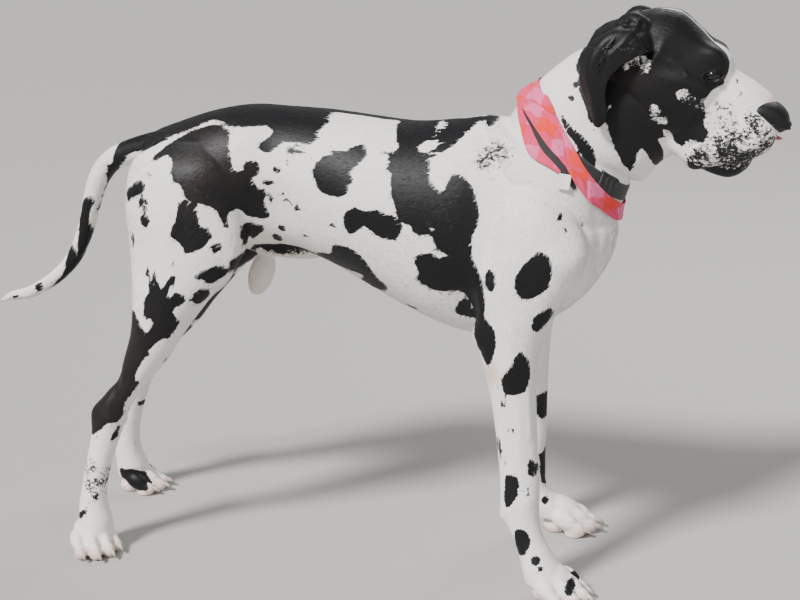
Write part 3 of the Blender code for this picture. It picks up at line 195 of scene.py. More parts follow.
def loft_points(stations, rings, segments, rise=None):
    """Rings along the stations: middle + width sign(sin a)|sin a|^f SIDE + reach cos a LIFT, a from 0 to 2 pi."""
    rows = spline(stations, rings)
    middle, width, up, down, full_up, full_down = rows[:, :3], *rows[:, 3:8].T
    if rise is None:
        lift = np.cross(np.gradient(middle, axis=0), SIDE)
        lift /= np.linalg.norm(lift, axis=1, keepdims=True)
    else:
        lift = np.repeat(np.asarray(rise, float)[None], rings, 0)
    angle = np.linspace(0, 2 * math.pi, segments, endpoint=False)
    sine, cosine = np.sin(angle), np.cos(angle)
    upper = cosine > 0
    power = np.where(upper, full_up[:, None], full_down[:, None])
    across = width[:, None] * np.sign(sine) * np.abs(sine) ** power
    along = np.where(upper, up[:, None], down[:, None]) * cosine
    ring = middle[:, None] + across[..., None] * SIDE + along[..., None] * lift[:, None]
    return np.vstack([ring.reshape(-1, 3), middle[0], middle[-1]])


def turned(angles):
    """The matrix that turns about X, then Y, then Z by the given angles."""
    x, y, z = angles
    return np.array(Matrix.Rotation(z, 3, "Z") @ Matrix.Rotation(y, 3, "Y") @ Matrix.Rotation(x, 3, "X"))


def ellipsoid_points(centre, radii, turn=(0, 0, 0), rings=24, segments=32):
    """centre + R (rx cos u, ry sin u cos v, rz sin u sin v), u from pole to pole and v round."""
    lat = np.linspace(0, math.pi, rings + 2)[1:-1]
    lon = np.linspace(0, 2 * math.pi, segments, endpoint=False)
    ring = np.stack([
        np.outer(np.cos(lat), np.ones(segments)), np.outer(np.sin(lat), np.cos(lon)),
        np.outer(np.sin(lat), np.sin(lon)),
    ], -1).reshape(-1, 3)
    return (np.vstack([ring, [1, 0, 0], [-1, 0, 0]]) * radii) @ turned(turn).T + centre, tube_faces(rings, segments)


def head_to_body(points):
    """Points in the head's axes, along, across and up, in the dog's frame."""
    points = np.asarray(points, float)
    return HEAD_ORIGIN + points[..., :1] * HEAD_AHEAD + points[..., 1:2] * SIDE + points[..., 2:3] * HEAD_ABOVE


def body_to_head(points):
    away = points - HEAD_ORIGIN
    return np.stack([away @ HEAD_AHEAD, away[:, 1], away @ HEAD_ABOVE], 1)


def left_leg(points, stagger, swing):
    """The right leg's points for the left side, where the leg swings back below the swing's upper height."""
    back = stagger * np.clip((swing[0] - points[:, 2]) / (swing[0] - swing[1]), 0, 1)
    if stagger == FORE_STAGGER:
        back += LEFT_PASTERN * np.exp(-(((points[:, 2] - LEFT_PASTERN_HEIGHT) / LEFT_PASTERN_REACH) ** 2))
    return points * (1, -1, 1) - np.outer(back, FORWARD)


def paw_to_body(name):
    """A function that takes points in a paw's axes, ahead, outwards and up, to the dog's frame."""
    (x, y), turn, size = PAWS[name]
    out = -1 if name.endswith("right") else 1
    angle = math.radians(turn)
    ahead = np.array([math.cos(angle), out * math.sin(angle), 0])
    outwards = np.array([-math.sin(angle), out * math.cos(angle), 0])

    def place(points):
        points = np.asarray(points, float) * size
        return np.array([x, y, 0]) + points[..., :1] * ahead + points[..., 1:2] * outwards + points[..., 2:3] * UPWARD

    return place


def paw_forms(name):
    """The flesh of one paw: its arch, heel pad, and for each toe a knuckle, a middle joint, a tip and a pad."""
    place = paw_to_body(name)
    forms = [
        ((-0.010, 0, 0.040), (0.044, 0.036, 0.028), (0, 0.35, 0)),
        ((-0.020, 0, 0.012), (0.027, 0.031, 0.017), (0, 0, 0)),
    ]
    for ahead, outwards, splay in TOES.values():
        turn = math.radians(splay)
        forms += [
            ((ahead + 0.016, outwards, 0.031), (0.029, 0.0142, 0.0195), (0, 0.45, turn)),
            ((ahead + 0.039, outwards * 1.08, 0.0165), (0.0195, 0.0132, 0.0150), (0, 0.2, turn)),
            ((ahead + 0.032, outwards * 1.05, 0.0080), (0.0180, 0.0122, 0.0095), (0, 0, turn)),
        ]
    made = []
    for centre, radii, turn in forms:
        points, faces = ellipsoid_points(centre, radii, turn, 14, 20)
        made.append((place(points), faces))
    return made


def bell(points, centre, radii):
    """exp(-|(p - c) / r|^2): 1 at the centre of a dab, fading with its radii."""
    return np.exp(-(((points - np.asarray(centre)) / np.asarray(radii)) ** 2).sum(1))


def stroke(points, path, width):
    """exp(-d^2 / w^2), d being the distance to a path."""
    return np.exp(-(path_distance(points, path) / width) ** 2)


def path_distance(points, path):
    """Distance to the nearest segment of a path, in as many dimensions as the points have."""
    nearest = np.full(len(points), np.inf)
    for start, end in zip(path[:-1], path[1:]):
        along = end - start
        share = np.clip((points - start) @ along / max(along @ along, 1e-12), 0, 1)
        nearest = np.minimum(nearest, ((points - start - share[:, None] * along) ** 2).sum(1))
    return np.sqrt(nearest)


def noise(points, size, seed=0):
    """Smooth noise from -1 to 1: random values at the corners of a grid of this size, blended by 3f^2 - 2f^3."""
    q = points / size + 37.3 * seed
    cell = np.floor(q)
    f = q - cell
    f = f * f * (3 - 2 * f)
    total = np.zeros(len(points))
    for corner in np.ndindex(2, 2, 2):
        at = cell + corner
        value = np.sin(at @ (12.9898, 78.233, 37.719) + seed) * 43758.5453
        weight = np.prod(np.where(np.array(corner), f, 1 - f), axis=1)
        total += weight * (value - np.floor(value))
    return total * 2 - 1


def smoothstep(low, high, value):
    t = np.clip((value - low) / (high - low), 0, 1)
    return t * t * (3 - 2 * t)


def positions(obj):
    flat = np.empty(len(obj.data.vertices) * 3)
    obj.data.vertices.foreach_get("co", flat)
    return flat.reshape(-1, 3)


def normals(obj):
    flat = np.empty(len(obj.data.vertices) * 3)
    obj.data.vertices.foreach_get("normal", flat)
    return flat.reshape(-1, 3)


def set_positions(obj, points):
    obj.data.vertices.foreach_set("co", np.ascontiguousarray(points, float).ravel())
    obj.data.update()


def applied(obj, kind, **settings):
    """The object with one modifier applied to its mesh."""
    modifier = obj.modifiers.new(kind.lower(), kind)
    for name, value in settings.items():
        setattr(modifier, name, value)
    bpy.context.view_layer.update()
    mesh = bpy.data.meshes.new_from_object(obj.evaluated_get(bpy.context.evaluated_depsgraph_get()))
    obj.modifiers.clear()
    old, obj.data = obj.data, mesh
    bpy.data.meshes.remove(old)
    return obj


def fused(name, forms, voxel):
    """One closed surface round all the closed forms, meshed on a grid."""
    points, faces, count = [], [], 0
    for p, f in forms:
        points.append(p)
        faces += [[i + count for i in face] for face in f]
        count += len(p)
    obj = piece_of(name, np.vstack(points), faces)
    work = bmesh.new()
    work.from_mesh(obj.data)
    bmesh.ops.recalc_face_normals(work, faces=work.faces)
    work.to_mesh(obj.data)
    work.free()
    return applied(obj, "REMESH", mode="VOXEL", voxel_size=voxel)


def softened(obj, rounds):
    """Evens the surface out: p + k (mean of neighbours - p), with k 0.6 and then -0.62 so that nothing shrinks."""
    edges = np.empty(len(obj.data.edges) * 2, int)
    obj.data.edges.foreach_get("vertices", edges)
    a, b = edges.reshape(-1, 2).T
    points = positions(obj)
    count = np.maximum(np.bincount(np.concatenate([a, b]), minlength=len(points)), 1)[:, None]
    for _ in range(rounds):
        for step in (0.6, -0.62):
            total = np.stack([
                np.bincount(a, points[b, k], len(points)) + np.bincount(b, points[a, k], len(points))
                for k in range(3)
            ], 1)
            points = points + step * (total / count - points)
    set_positions(obj, points)


# Ear rails in the dog's frame, right side, root to tip: front edge, fold between, rear edge.
EAR_FRONT = [
    (0.590, -0.060, 0.972), (0.575, -0.086, 0.965), (0.538, -0.100, 0.948), (0.514, -0.103, 0.922),
    (0.509, -0.102, 0.890), (0.513, -0.100, 0.866), (0.509, -0.098, 0.850),
]
EAR_FOLD = [
    (0.556, -0.062, 1.006), (0.538, -0.096, 1.000), (0.505, -0.110, 0.972), (0.490, -0.113, 0.935),
    (0.494, -0.111, 0.895), (0.498, -0.108, 0.866), (0.500, -0.103, 0.841),
]
EAR_REAR = [
    (0.516, -0.044, 0.985), (0.486, -0.074, 0.985), (0.469, -0.086, 0.960), (0.466, -0.092, 0.920),
    (0.477, -0.094, 0.885), (0.485, -0.095, 0.864), (0.490, -0.096, 0.850),
]
EAR_THICKNESS = 0.0062


def ear_form(side):
    """A leather slab: the quadratic curve (1-w)^2 F + 2w(1-w) C + w^2 R across three rails, thin at its edges."""
    rows, columns = 48, 22
    front, fold, rear = (spline(rail, rows) for rail in (EAR_FRONT, EAR_FOLD, EAR_REAR))
    control = 2 * fold - (front + rear) / 2
    w = np.linspace(0, 1, columns)[None, :, None]
    middle = (1 - w) ** 2 * front[:, None] + 2 * w * (1 - w) * control[:, None] + w**2 * rear[:, None]
    outward = np.cross(np.gradient(middle, axis=0), np.gradient(middle, axis=1))
    outward /= np.linalg.norm(outward, axis=2, keepdims=True) + 1e-12
    outward *= -np.sign(outward[..., 1:2].mean())
    share = np.linspace(0, 1, rows)[:, None, None]
    half = EAR_THICKNESS / 2 * (0.5 + 0.5 * np.sqrt(4 * w * (1 - w))) * (1 - 0.3 * share)
    # long soft folds run down the leather, and its front rim rolls outwards
    half_fold = 0.0022 * np.sin(w * 11 + 2.5 * share) * smoothstep(0, 0.3, share) * (1 - share)
    middle = middle + outward * (half_fold + 0.003 * np.exp(-((w / 0.10) ** 2)) * smoothstep(0.15, 0.4, share))
    outer, inner = middle + half * outward, middle - half * outward
    points = np.concatenate([outer.reshape(-1, 3), inner.reshape(-1, 3)]) * (1, 1 if side < 0 else -1, 1)
    back = rows * columns
    quads = grid_faces(rows, columns)
    rim = np.concatenate([
        np.arange(columns), np.arange(1, rows) * columns + columns - 1,
        (rows - 1) * columns + np.arange(columns - 2, -1, -1), np.arange(rows - 2, 0, -1) * columns,
    ])
    after = np.roll(rim, -1)
    return points, quads.tolist() + (quads[:, ::-1] + back).tolist() + np.stack(
        [after, rim, rim + back, after + back], 1).tolist()


# Dabs on the right side, mirrored to the left: centre, radii and how far the skin moves out.
HEAD_DABS = [
    ((0.152, -0.046, 0.114), (0.024, 0.018, 0.017), 0.0140), ((0.150, 0.000, 0.130), (0.030, 0.010, 0.020), -0.0040),
    ((0.196, 0.000, 0.106), (0.022, 0.018, 0.020), -0.0050), ((0.167, -0.060, 0.078), (0.020, 0.018, 0.016), -0.0045),
    ((0.195, -0.045, 0.075), (0.018, 0.016, 0.022), -0.0050), ((0.130, -0.070, 0.052), (0.040, 0.020, 0.014), 0.0060),
    ((0.105, -0.074, 0.095), (0.026, 0.020, 0.018), -0.0050), ((0.085, -0.070, 0.010), (0.040, 0.025, 0.040), 0.0060),
    ((0.060, 0.000, 0.146), (0.045, 0.010, 0.020), -0.0020), ((-0.030, 0.000, 0.060), (0.020, 0.018, 0.020), 0.0040),
    ((0.205, -0.050, 0.010), (0.034, 0.018, 0.026), -0.0030), ((0.222, -0.054, -0.040), (0.030, 0.020, 0.032), 0.0050),
    ((0.165, -0.050, -0.048), (0.022, 0.020, 0.022), -0.0060), ((0.280, -0.044, 0.018), (0.016, 0.016, 0.022), 0.0030),
    ((0.045, -0.075, 0.060), (0.012, 0.020, 0.014), -0.0080), ((0.068, -0.078, 0.070), (0.008, 0.020, 0.024), 0.0045),
    ((0.164, -0.062, 0.060), (0.016, 0.014, 0.006), 0.0020),  # pouch under the eye
    ((0.245, -0.052, 0.000), (0.010, 0.014, 0.010), 0.0012), ((0.262, -0.050, -0.006), (0.010, 0.014, 0.010), 0.0012),
    ((0.196, -0.054, -0.066), (0.009, 0.014, 0.012), 0.0040),  # fold at the corner of the mouth
    ((0.095, -0.078, 0.056), (0.032, 0.022, 0.012), -0.0040), ((0.302, -0.012, 0.020), (0.014, 0.022, 0.026), 0.0030),
    ((0.288, -0.034, -0.014), (0.016, 0.018, 0.022), 0.0025), ((0.120, -0.074, -0.020), (0.030, 0.020, 0.026), 0.0040),
    ((0.150, -0.062, 0.012), (0.016, 0.016, 0.026), -0.0030), ((0.190, -0.056, -0.080), (0.010, 0.014, 0.012), 0.0030),
    ((-0.005, -0.108, 0.020), (0.014, 0.020, 0.040), -0.0020),
]
BODY_DABS = [
    ((0.350, -0.115, 0.700), (0.020, 0.050, 0.080), 0.0050), ((0.300, -0.120, 0.690), (0.030, 0.050, 0.060), -0.0040),
    ((0.465, -0.105, 0.612), (0.032, 0.045, 0.034), 0.0100), ((0.318, -0.150, 0.560), (0.035, 0.045, 0.055), 0.0070),
    ((0.300, -0.120, 0.470), (0.024, 0.040, 0.022), 0.0080), ((0.270, -0.130, 0.520), (0.030, 0.050, 0.050), -0.0070),
    ((0.440, -0.070, 0.520), (0.030, 0.030, 0.050), 0.0050), ((0.480, 0.000, 0.560), (0.050, 0.014, 0.080), -0.0060),
    ((0.520, 0.000, 0.665), (0.025, 0.030, 0.025), 0.0040), ((0.562, 0.000, 0.733), (0.022, 0.024, 0.022), 0.0110),
    ((0.500, -0.050, 0.730), (0.040, 0.030, 0.060), -0.0060), ((0.050, -0.140, 0.690), (0.090, 0.060, 0.080), 0.0040),
    ((-0.085, -0.110, 0.665), (0.060, 0.050, 0.055), -0.0090), ((-0.125, -0.085, 0.795), (0.030, 0.030, 0.022), 0.0060),
    ((-0.330, -0.060, 0.735), (0.025, 0.030, 0.030), 0.0060), ((-0.270, -0.120, 0.660), (0.060, 0.050, 0.070), 0.0050),
    ((-0.150, -0.130, 0.600), (0.020, 0.050, 0.060), 0.0040), ((-0.178, -0.110, 0.535), (0.022, 0.040, 0.028), 0.0060),
    ((-0.290, -0.130, 0.500), (0.050, 0.030, 0.040), 0.0040), ((-0.385, -0.145, 0.318), (0.014, 0.022, 0.045), -0.0060),
    ((-0.385, -0.100, 0.318), (0.014, 0.022, 0.045), -0.0060), ((-0.436, -0.125, 0.272), (0.016, 0.022, 0.018), 0.0050),
    ((-0.392, -0.152, 0.262), (0.018, 0.012, 0.014), 0.0030), ((0.345, -0.139, 0.142), (0.012, 0.018, 0.012), 0.0090),
    ((0.352, -0.128, 0.250), (0.010, 0.014, 0.060), -0.0020),
    # finer than the solids: knee, wrist and hock bones, rib ends, muscle bellies
    ((0.400, -0.168, 0.178), (0.014, 0.010, 0.014), 0.0025), ((0.372, -0.168, 0.172), (0.010, 0.010, 0.012), 0.0020),
    ((0.383, -0.160, 0.300), (0.010, 0.014, 0.060), 0.0018), ((0.360, -0.162, 0.420), (0.018, 0.014, 0.040), 0.0030),
    ((0.400, -0.150, 0.560), (0.018, 0.030, 0.060), -0.0030), ((0.360, -0.160, 0.620), (0.030, 0.030, 0.050), 0.0040),
    ((0.410, -0.130, 0.690), (0.022, 0.040, 0.050), 0.0030), ((-0.230, -0.150, 0.600), (0.016, 0.020, 0.070), -0.0025),
    ((-0.300, -0.145, 0.610), (0.024, 0.020, 0.060), 0.0030), ((-0.320, -0.150, 0.420), (0.016, 0.016, 0.040), 0.0030),
]
# Strokes in the dog's frame, right side: path, width, amount.
BODY_STROKES = [
    (((-0.090, -0.125, 0.640), (-0.140, -0.130, 0.590), (-0.178, -0.120, 0.560)), 0.012, 0.0035),  # flank fold
    (((-0.400, -0.125, 0.400), (-0.392, -0.125, 0.345), (-0.430, -0.125, 0.290)), 0.006, 0.0015),
    (((0.385, -0.150, 0.470), (0.398, -0.150, 0.380), (0.400, -0.150, 0.300)), 0.007, 0.0016),
    (((0.340, -0.150, 0.430), (0.352, -0.152, 0.360), (0.358, -0.152, 0.290)), 0.006, -0.0020),
    (((0.498, -0.070, 0.690), (0.505, -0.062, 0.640), (0.500, -0.070, 0.590)), 0.010, -0.0030),
    (((0.512, -0.030, 0.690), (0.520, -0.026, 0.640), (0.512, -0.030, 0.590)), 0.008, 0.0025),
    (((0.560, -0.050, 0.790), (0.545, -0.055, 0.765), (0.532, -0.050, 0.745)), 0.006, -0.0030),  # throat folds
    (((0.585, -0.045, 0.775), (0.565, -0.050, 0.755), (0.550, -0.040, 0.738)), 0.006, 0.0020),
]
# Strokes in the head's axes: path, width, amount.
HEAD_STROKES = [
    (((0.299, -0.014, -0.006), (0.292, -0.030, -0.020), (0.282, -0.041, -0.030), (0.266, -0.048, -0.050),
      (0.242, -0.050, -0.066), (0.220, -0.052, -0.080), (0.206, -0.052, -0.079)), 0.0035, -0.0060),
    (((0.196, -0.053, -0.068), (0.190, -0.054, -0.048), (0.194, -0.056, -0.030)), 0.0040, -0.0050),
    (((0.204, -0.053, -0.076), (0.201, -0.055, -0.056), (0.206, -0.056, -0.038)), 0.0035, -0.0035),
    (((0.312, 0.0, 0.036), (0.303, 0.0, 0.008)), 0.0022, -0.0040),
    (((0.186, -0.052, 0.082), (0.150, -0.056, 0.084)), 0.0030, 0.0008),
    (((0.070, -0.075, 0.100), (0.100, -0.078, 0.098), (0.135, -0.074, 0.088), (0.160, -0.066, 0.068)), 0.0040, 0.0022),
    (((0.050, -0.078, 0.094), (0.050, -0.082, 0.083), (0.058, -0.083, 0.062), (0.068, -0.082, 0.042)), 0.0035, 0.0042),
    (((0.056, -0.078, 0.078), (0.085, -0.080, 0.080), (0.113, -0.078, 0.074), (0.128, -0.074, 0.064)), 0.0045, 0.0030),
    (((0.018, -0.100, 0.056), (0.006, -0.108, 0.012), (0.018, -0.106, -0.022), (0.032, -0.102, -0.042)), 0.0022, 0.0024),
    (((0.008, -0.100, 0.054), (-0.003, -0.108, 0.012), (0.009, -0.106, -0.024), (0.022, -0.103, -0.042)), 0.0040, -0.0018),
    (((0.013, -0.064, 0.104), (0.014, -0.089, 0.087), (0.010, -0.104, 0.065), (0.002, -0.110, 0.040)), 0.0046, 0.0024),
    (((0.023, -0.064, 0.102), (0.025, -0.087, 0.086), (0.021, -0.101, 0.066)), 0.0046, -0.0024),
    (((-0.004, -0.066, 0.095), (-0.015, -0.088, 0.071), (-0.018, -0.106, 0.044), (-0.016, -0.108, 0.015)), 0.0048, 0.0022),
    (((0.004, -0.068, 0.096), (-0.004, -0.092, 0.076), (-0.007, -0.108, 0.050), (-0.006, -0.110, 0.020)), 0.0046, -0.0022),
    (((-0.024, -0.070, 0.078), (-0.032, -0.090, 0.052), (-0.030, -0.098, 0.025)), 0.0040, -0.0018),
    (((0.225, -0.054, -0.066), (0.240, -0.052, -0.052), (0.262, -0.048, -0.034)), 0.0040, 0.0016),
    (((0.055, -0.078, 0.095), (0.056, -0.080, 0.070), (0.050, -0.080, 0.050)), 0.0045, -0.0040),
    (((0.130, -0.030, 0.135), (0.158, -0.014, 0.128), (0.182, -0.012, 0.112)), 0.0050, -0.0016),
    (((0.232, -0.050, 0.040), (0.245, -0.050, 0.014), (0.250, -0.050, -0.014)), 0.0080, -0.0015),
]
LEG_SPLIT_X = 0.10


def sculpted(obj):
    """Presses the dabs and strokes in along the normals, on both sides."""
    points = positions(obj) + SHIFT
    outward = normals(obj)
    move = np.zeros(len(points))
    for side in (1, -1):
        same = points * (1, side, 1)
        head = body_to_head(same)
        swung = same.copy()
        if side < 0:
            for ahead, stagger, swing in ((1, FORE_STAGGER, FORE_SWING), (-1, HIND_STAGGER, HIND_SWING)):
                leg = ahead * (same[:, 0] - LEG_SPLIT_X) > 0
                swung[leg, 0] += (stagger * np.clip((swing[0] - same[:, 2]) / (swing[0] - swing[1]), 0, 1))[leg]
        for own, table in ((head, HEAD_DABS), (swung, BODY_DABS)):
            for centre, radii, amount in table:
                near = (np.abs(own - centre) < 3 * np.array(radii)).all(1)
                move[near] += amount * bell(own[near], centre, radii) * (0.5 if centre[1] == 0 else 1)
        for own, table in ((head, HEAD_STROKES), (swung, BODY_STROKES)):
            for path, width, amount in table:
                path = np.asarray(path, float)
                low, high = path.min(0) - 3 * width, path.max(0) + 3 * width
                near = ((own > low) & (own < high)).all(1)
                central = np.abs(path[:, 1]).max() < 1e-6
                move[near] += amount * stroke(own[near], path, width) * (0.5 if central else 1)
    set_positions(obj, points - SHIFT + outward * move[:, None])


# Where the hidden join of the head's finer mesh and the body's lies: under the neckerchief.
JOIN_MIDDLE, JOIN_WAY, JOIN_OVERLAP = np.array([0.437, 0, 0.793]), np.array([0.770, 0, 0.638]), 0.006
EYE_MIDDLE, EYE_RADIUS, EYE_TURN = (0.1640, -0.0440, 0.0780), 0.0125, 22
LID_HALF = (0.0142, 0.0018, 0.0020)  # half length, upper and lower height of the eye's opening


def kept_faces(obj, keep):
    """Drops the faces that keep, one flag per vertex, leaves out."""
    work = bmesh.new()
    work.from_mesh(obj.data)
    work.verts.ensure_lookup_table()
    bmesh.ops.delete(work, geom=[v for v, stays in zip(work.verts, keep) if not stays], context="VERTS")
    work.to_mesh(obj.data)
    work.free()


def leg_forms():
    faces = tube_faces(150, 48)
    for stations, stagger, swing in ((FORELEG, FORE_STAGGER, FORE_SWING), (HINDLEG, HIND_STAGGER, HIND_SWING)):
        points = loft_points(stations, 150, 48, FORWARD)
        yield points, faces
        yield left_leg(points, stagger, swing), faces


def head_forms():
    forms = [(head_to_body(loft_points(rows, 90, 72, UPWARD)), tube_faces(90, 72)) for rows in (SKULL, MUZZLE, JAW)]
    forms.append((loft_points(NECK, 70, 72), tube_faces(70, 72)))
    forms.append((loft_points(TORSO[9:], 40, 64, UPWARD), tube_faces(40, 64)))
    for side in (-1, 1):
        forms.append(ear_form(side))
        forms.append(ellipsoid_points(head_to_body((0.012, side * 0.050, 0.078)), (0.034, 0.022, 0.036), (0, 0.3, 0)))
        forms.append(ellipsoid_points(eye_frame(side)[0], [EYE_RADIUS + 0.0026] * 3))
    return forms


def body_forms():
    forms = [
        (loft_points(TORSO, 110, 80, UPWARD), tube_faces(110, 80)), (loft_points(NECK, 60, 64), tube_faces(60, 64)),
        (loft_points(TAIL, 110, 32), tube_faces(110, 32)),
        ellipsoid_points((-0.105, 0, 0.578), (0.095, 0.020, 0.022), (0, 0.10, 0)),
        ellipsoid_points((-0.140, 0, 0.524), (0.025, 0.021, 0.047), (0, 0.35, 0)),
    ]
    forms += leg_forms()
    for name in PAWS:
        forms += paw_forms(name)
    return forms


def eye_frame(side):
    """An eyeball's middle in the dog's frame, and the ways along the slit, up and out. side is -1 for the right."""
    turn = math.radians(EYE_TURN)
    along = np.array([math.cos(turn), -side * math.sin(turn), 0.03])
    look = np.array([math.sin(turn), side * math.cos(turn), 0.05])
    along, look = along / np.linalg.norm(along), look / np.linalg.norm(look)
    return head_to_body(np.array(EYE_MIDDLE) * (1, -side, 1)), along, np.cross(along, look) * -side * -1, look


def tree_of(obj):
    """A search tree of an object, in the dog's frame."""
    points = positions(obj) + SHIFT
    faces = [tuple(f.vertices) for f in obj.data.polygons]
    return BVHTree.FromPolygons(points.tolist(), faces)


def hollow_eyes(obj):
    """Sinks the skin behind each eyeball's opening, so that the lids' own surface closes it."""
    points = positions(obj) + SHIFT
    for side in (-1, 1):
        centre, along, up, look = eye_frame(side)
        away = points - centre
        u, v, w = away @ along, away @ up, away @ look
        reach = (u / (LID_HALF[0] + 0.0035)) ** 2 + (v / (LID_HALF[1] + 0.0045)) ** 2
        sunk = (reach < 1) & (w > 0) & (np.abs(u) < 0.03) & (np.abs(v) < 0.03)
        depth = 0.006 * (1 - reach[sunk]) ** 0.3
        points[sunk] -= np.outer(depth, look)
    set_positions(obj, points - SHIFT)


def build_skin(depth):
    """The one skin of the dog, depth metres inside the solids, with the head's mesh finer than the body's."""
    head = fused("skin_head", head_forms(), 0.0018)
    kept_faces(head, (positions(head) + SHIFT - JOIN_MIDDLE) @ JOIN_WAY > -JOIN_OVERLAP)
    softened(head, 24)
    sculpted(head)
    body = fused("skin", body_forms(), 0.0032)
    kept_faces(body, (positions(body) + SHIFT - JOIN_MIDDLE) @ JOIN_WAY < JOIN_OVERLAP)
    softened(body, 16)
    sculpted(body)
    points = positions(body)
    points[:, 2] = np.maximum(points[:, 2], 0.0)
    set_positions(body, points)
    thinned(body, BODY_TRIANGLES, points[:, 2] > 0.085)
    thinned(head, HEAD_TRIANGLES, np.ones(len(positions(head)), bool))
    for obj in (head, body):
        points = positions(obj)
        inset = depth * np.where(near_ears(points + SHIFT), 0.2, 1.0) * smoothstep(0.001, 0.008, points[:, 2])
        set_positions(obj, points - normals(obj) * inset[:, None])
    hollow_eyes(head)
    joined(body, [head])
    return body


BODY_TRIANGLES, HEAD_TRIANGLES = 98000, 98000


def thinned(obj, triangles, free):
    """Fewer triangles, all taken from where free is true."""
    group = obj.vertex_groups.new(name="free")
    group.add(np.flatnonzero(free).tolist(), 1.0, "REPLACE")
    now = sum(len(face.vertices) - 2 for face in obj.data.polygons)
    applied(obj, "DECIMATE", ratio=triangles / now, vertex_group="free", vertex_group_factor=1.0)
    obj.vertex_groups.clear()


def near_ears(points):
    """Which points belong to the hanging leather of the ears."""
    x, y, z = points.T
    inner = np.interp(z, (0.84, 0.87, 0.92, 0.96), (0.0895, 0.0880, 0.0840, 0.0780))
    return (np.abs(y) > inner) & (x < 0.60) & (x > 0.44) & (z > 0.84) & (z < 0.975) & ((x < 0.57) | (np.abs(y) > 0.088))


def joined(main, others):
    """Joins objects into main."""
    with bpy.context.temp_override(active_object=main, object=main, selected_objects=[main] + others,
                                   selected_editable_objects=[main] + others):
        bpy.ops.object.join()
    return main


# Patches of the coat's right side, as outlines in (x, z) millimetres of the dog's frame.
RIGHT = """
-430,748 -330,762 -280,787 -226,809 -196,819 -154,812 -97,815 -83,803 -101,790 -102,778 -83,772 -55,793 -23,786 -1,794 2,810 16,824 7,833 69,832 131,830 131,930 -430,930
-299,759 -290,752 -273,764 -256,754 -258,739 -249,722 -235,718 -222,691 -180,679 -164,654 -144,671 -128,653 -90,652 -100,689 -78,700 -105,711 -117,738 -134,742 -146,743 -157,783 -162,807 -190,815 -226,806 -262,789
131,835 138,804 148,790 136,773 143,761 147,721 156,693 160,672 173,667 189,661 196,649 216,649 225,661 229,715 223,738 213,745 214,768 205,784 176,786 213,810 205,824 205,930 131,930
155,678 120,689 102,684 100,690 87,692 63,678 59,653 64,640 80,641 101,657 119,642 150,635 162,641 173,667
225,661 229,715 243,728 248,748 259,756 276,745 293,726 304,676 293,647 295,612 312,580 319,558 320,526 311,500 302,490 287,493 281,531 256,560 245,590 252,612 228,629
328,602 340,588 339,569 329,559 317,578
294,508 298,470 311,440 324,424 334,440 342,470 337,493 326,507 310,513
399,260 413,247 414,232 403,224 396,240
474,45 483,48 489,34 481,26 472,33
252,612 234,610 224,618 195,613 189,598 197,576 190,563 224,545 256,544 267,550 262,580
280,532 262,523 251,501 255,495 277,492 287,493
224,827 217,806 218,794 224,784 244,792 282,831 296,825 315,834 330,930 224,930
-273,531 -297,523 -311,504 -317,487 -311,476 -314,464 -295,468 -304,446 -317,445 -330,467 -360,470 -420,340 -470,240 -439,228 -416,240 -401,256 -383,257 -373,272 -365,297 -333,340 -342,349 -317,390 -306,393 -308,406 -284,428 -266,429 -264,440 -249,458 -254,476 -256,490 -240,495 -232,511 -247,522 -262,513 -263,528
-211,546 -210,558 -174,572 -160,564 -152,578 -139,587 -150,560 -177,542 -191,535 -198,545
-222,515 -205,528 -191,522 -200,505 -218,495 -222,507
77,793 50,776 46,784 27,780 6,759 0,736 8,729 8,719 23,708 45,705 64,709 71,718 71,728 80,735 73,743 75,751 97,775 91,792
-231,689 -245,683 -239,669 -248,664 -242,655 -251,644 -254,622 -235,613 -231,599 -219,594 -187,613 -179,641 -193,643 -201,653 -207,677
417,636 404,631 379,600 371,575 380,555 399,550 432,571 429,580 436,596 432,626
46,614 27,608 21,589 -6,590 -8,576 20,560 76,554 83,548 67,539 95,520 114,519 128,540 105,562 94,592 69,611
380,458 362,422 343,393 350,381 368,377 386,380 396,391 398,432 391,448
430,536 405,519 400,505 407,488 433,515 434,532
-135,643 -140,626 -135,610 -135,601 -105,627 -109,636
-317,719 -339,708 -358,690 -349,670 -342,681 -306,704
-345,623 -342,581 -333,616 -360,640
356,224 358,172 372,176 386,200 381,226 368,231
376,127 381,84 396,86 408,108 397,131
435,856 440,848 455,833 475,819 489,799 494,776 491,758 476,778 464,798 452,816 441,829 433,848
-175,616 -180,614 -182,596 -174,595 -164,602 -163,614
-383,252 -398,222 -391,222 -386,228 -380,249
-50,785 -53,780 -49,772 -44,771 -35,777 -39,782
-444,90 -462,77 -460,65 -445,78 -441,87
-88,726 -95,722 -95,716 -82,715 -71,719
-6,783 -13,777 -12,771 -6,770 0,776 0,782
-438,174 -449,168 -448,161 -438,163 -433,168 -432,174
159,503 153,497 154,494 174,492 180,498
473,681 471,673 473,665 476,669
-312,681 -319,676 -312,671 -302,680
407,247 401,239 403,232 409,241
340,631 335,620 339,618 343,622
-282,388 -289,383 -296,368
-157,646 -160,642 -157,635 -153,641
-277,562 -285,557 -284,551 -274,558
"""
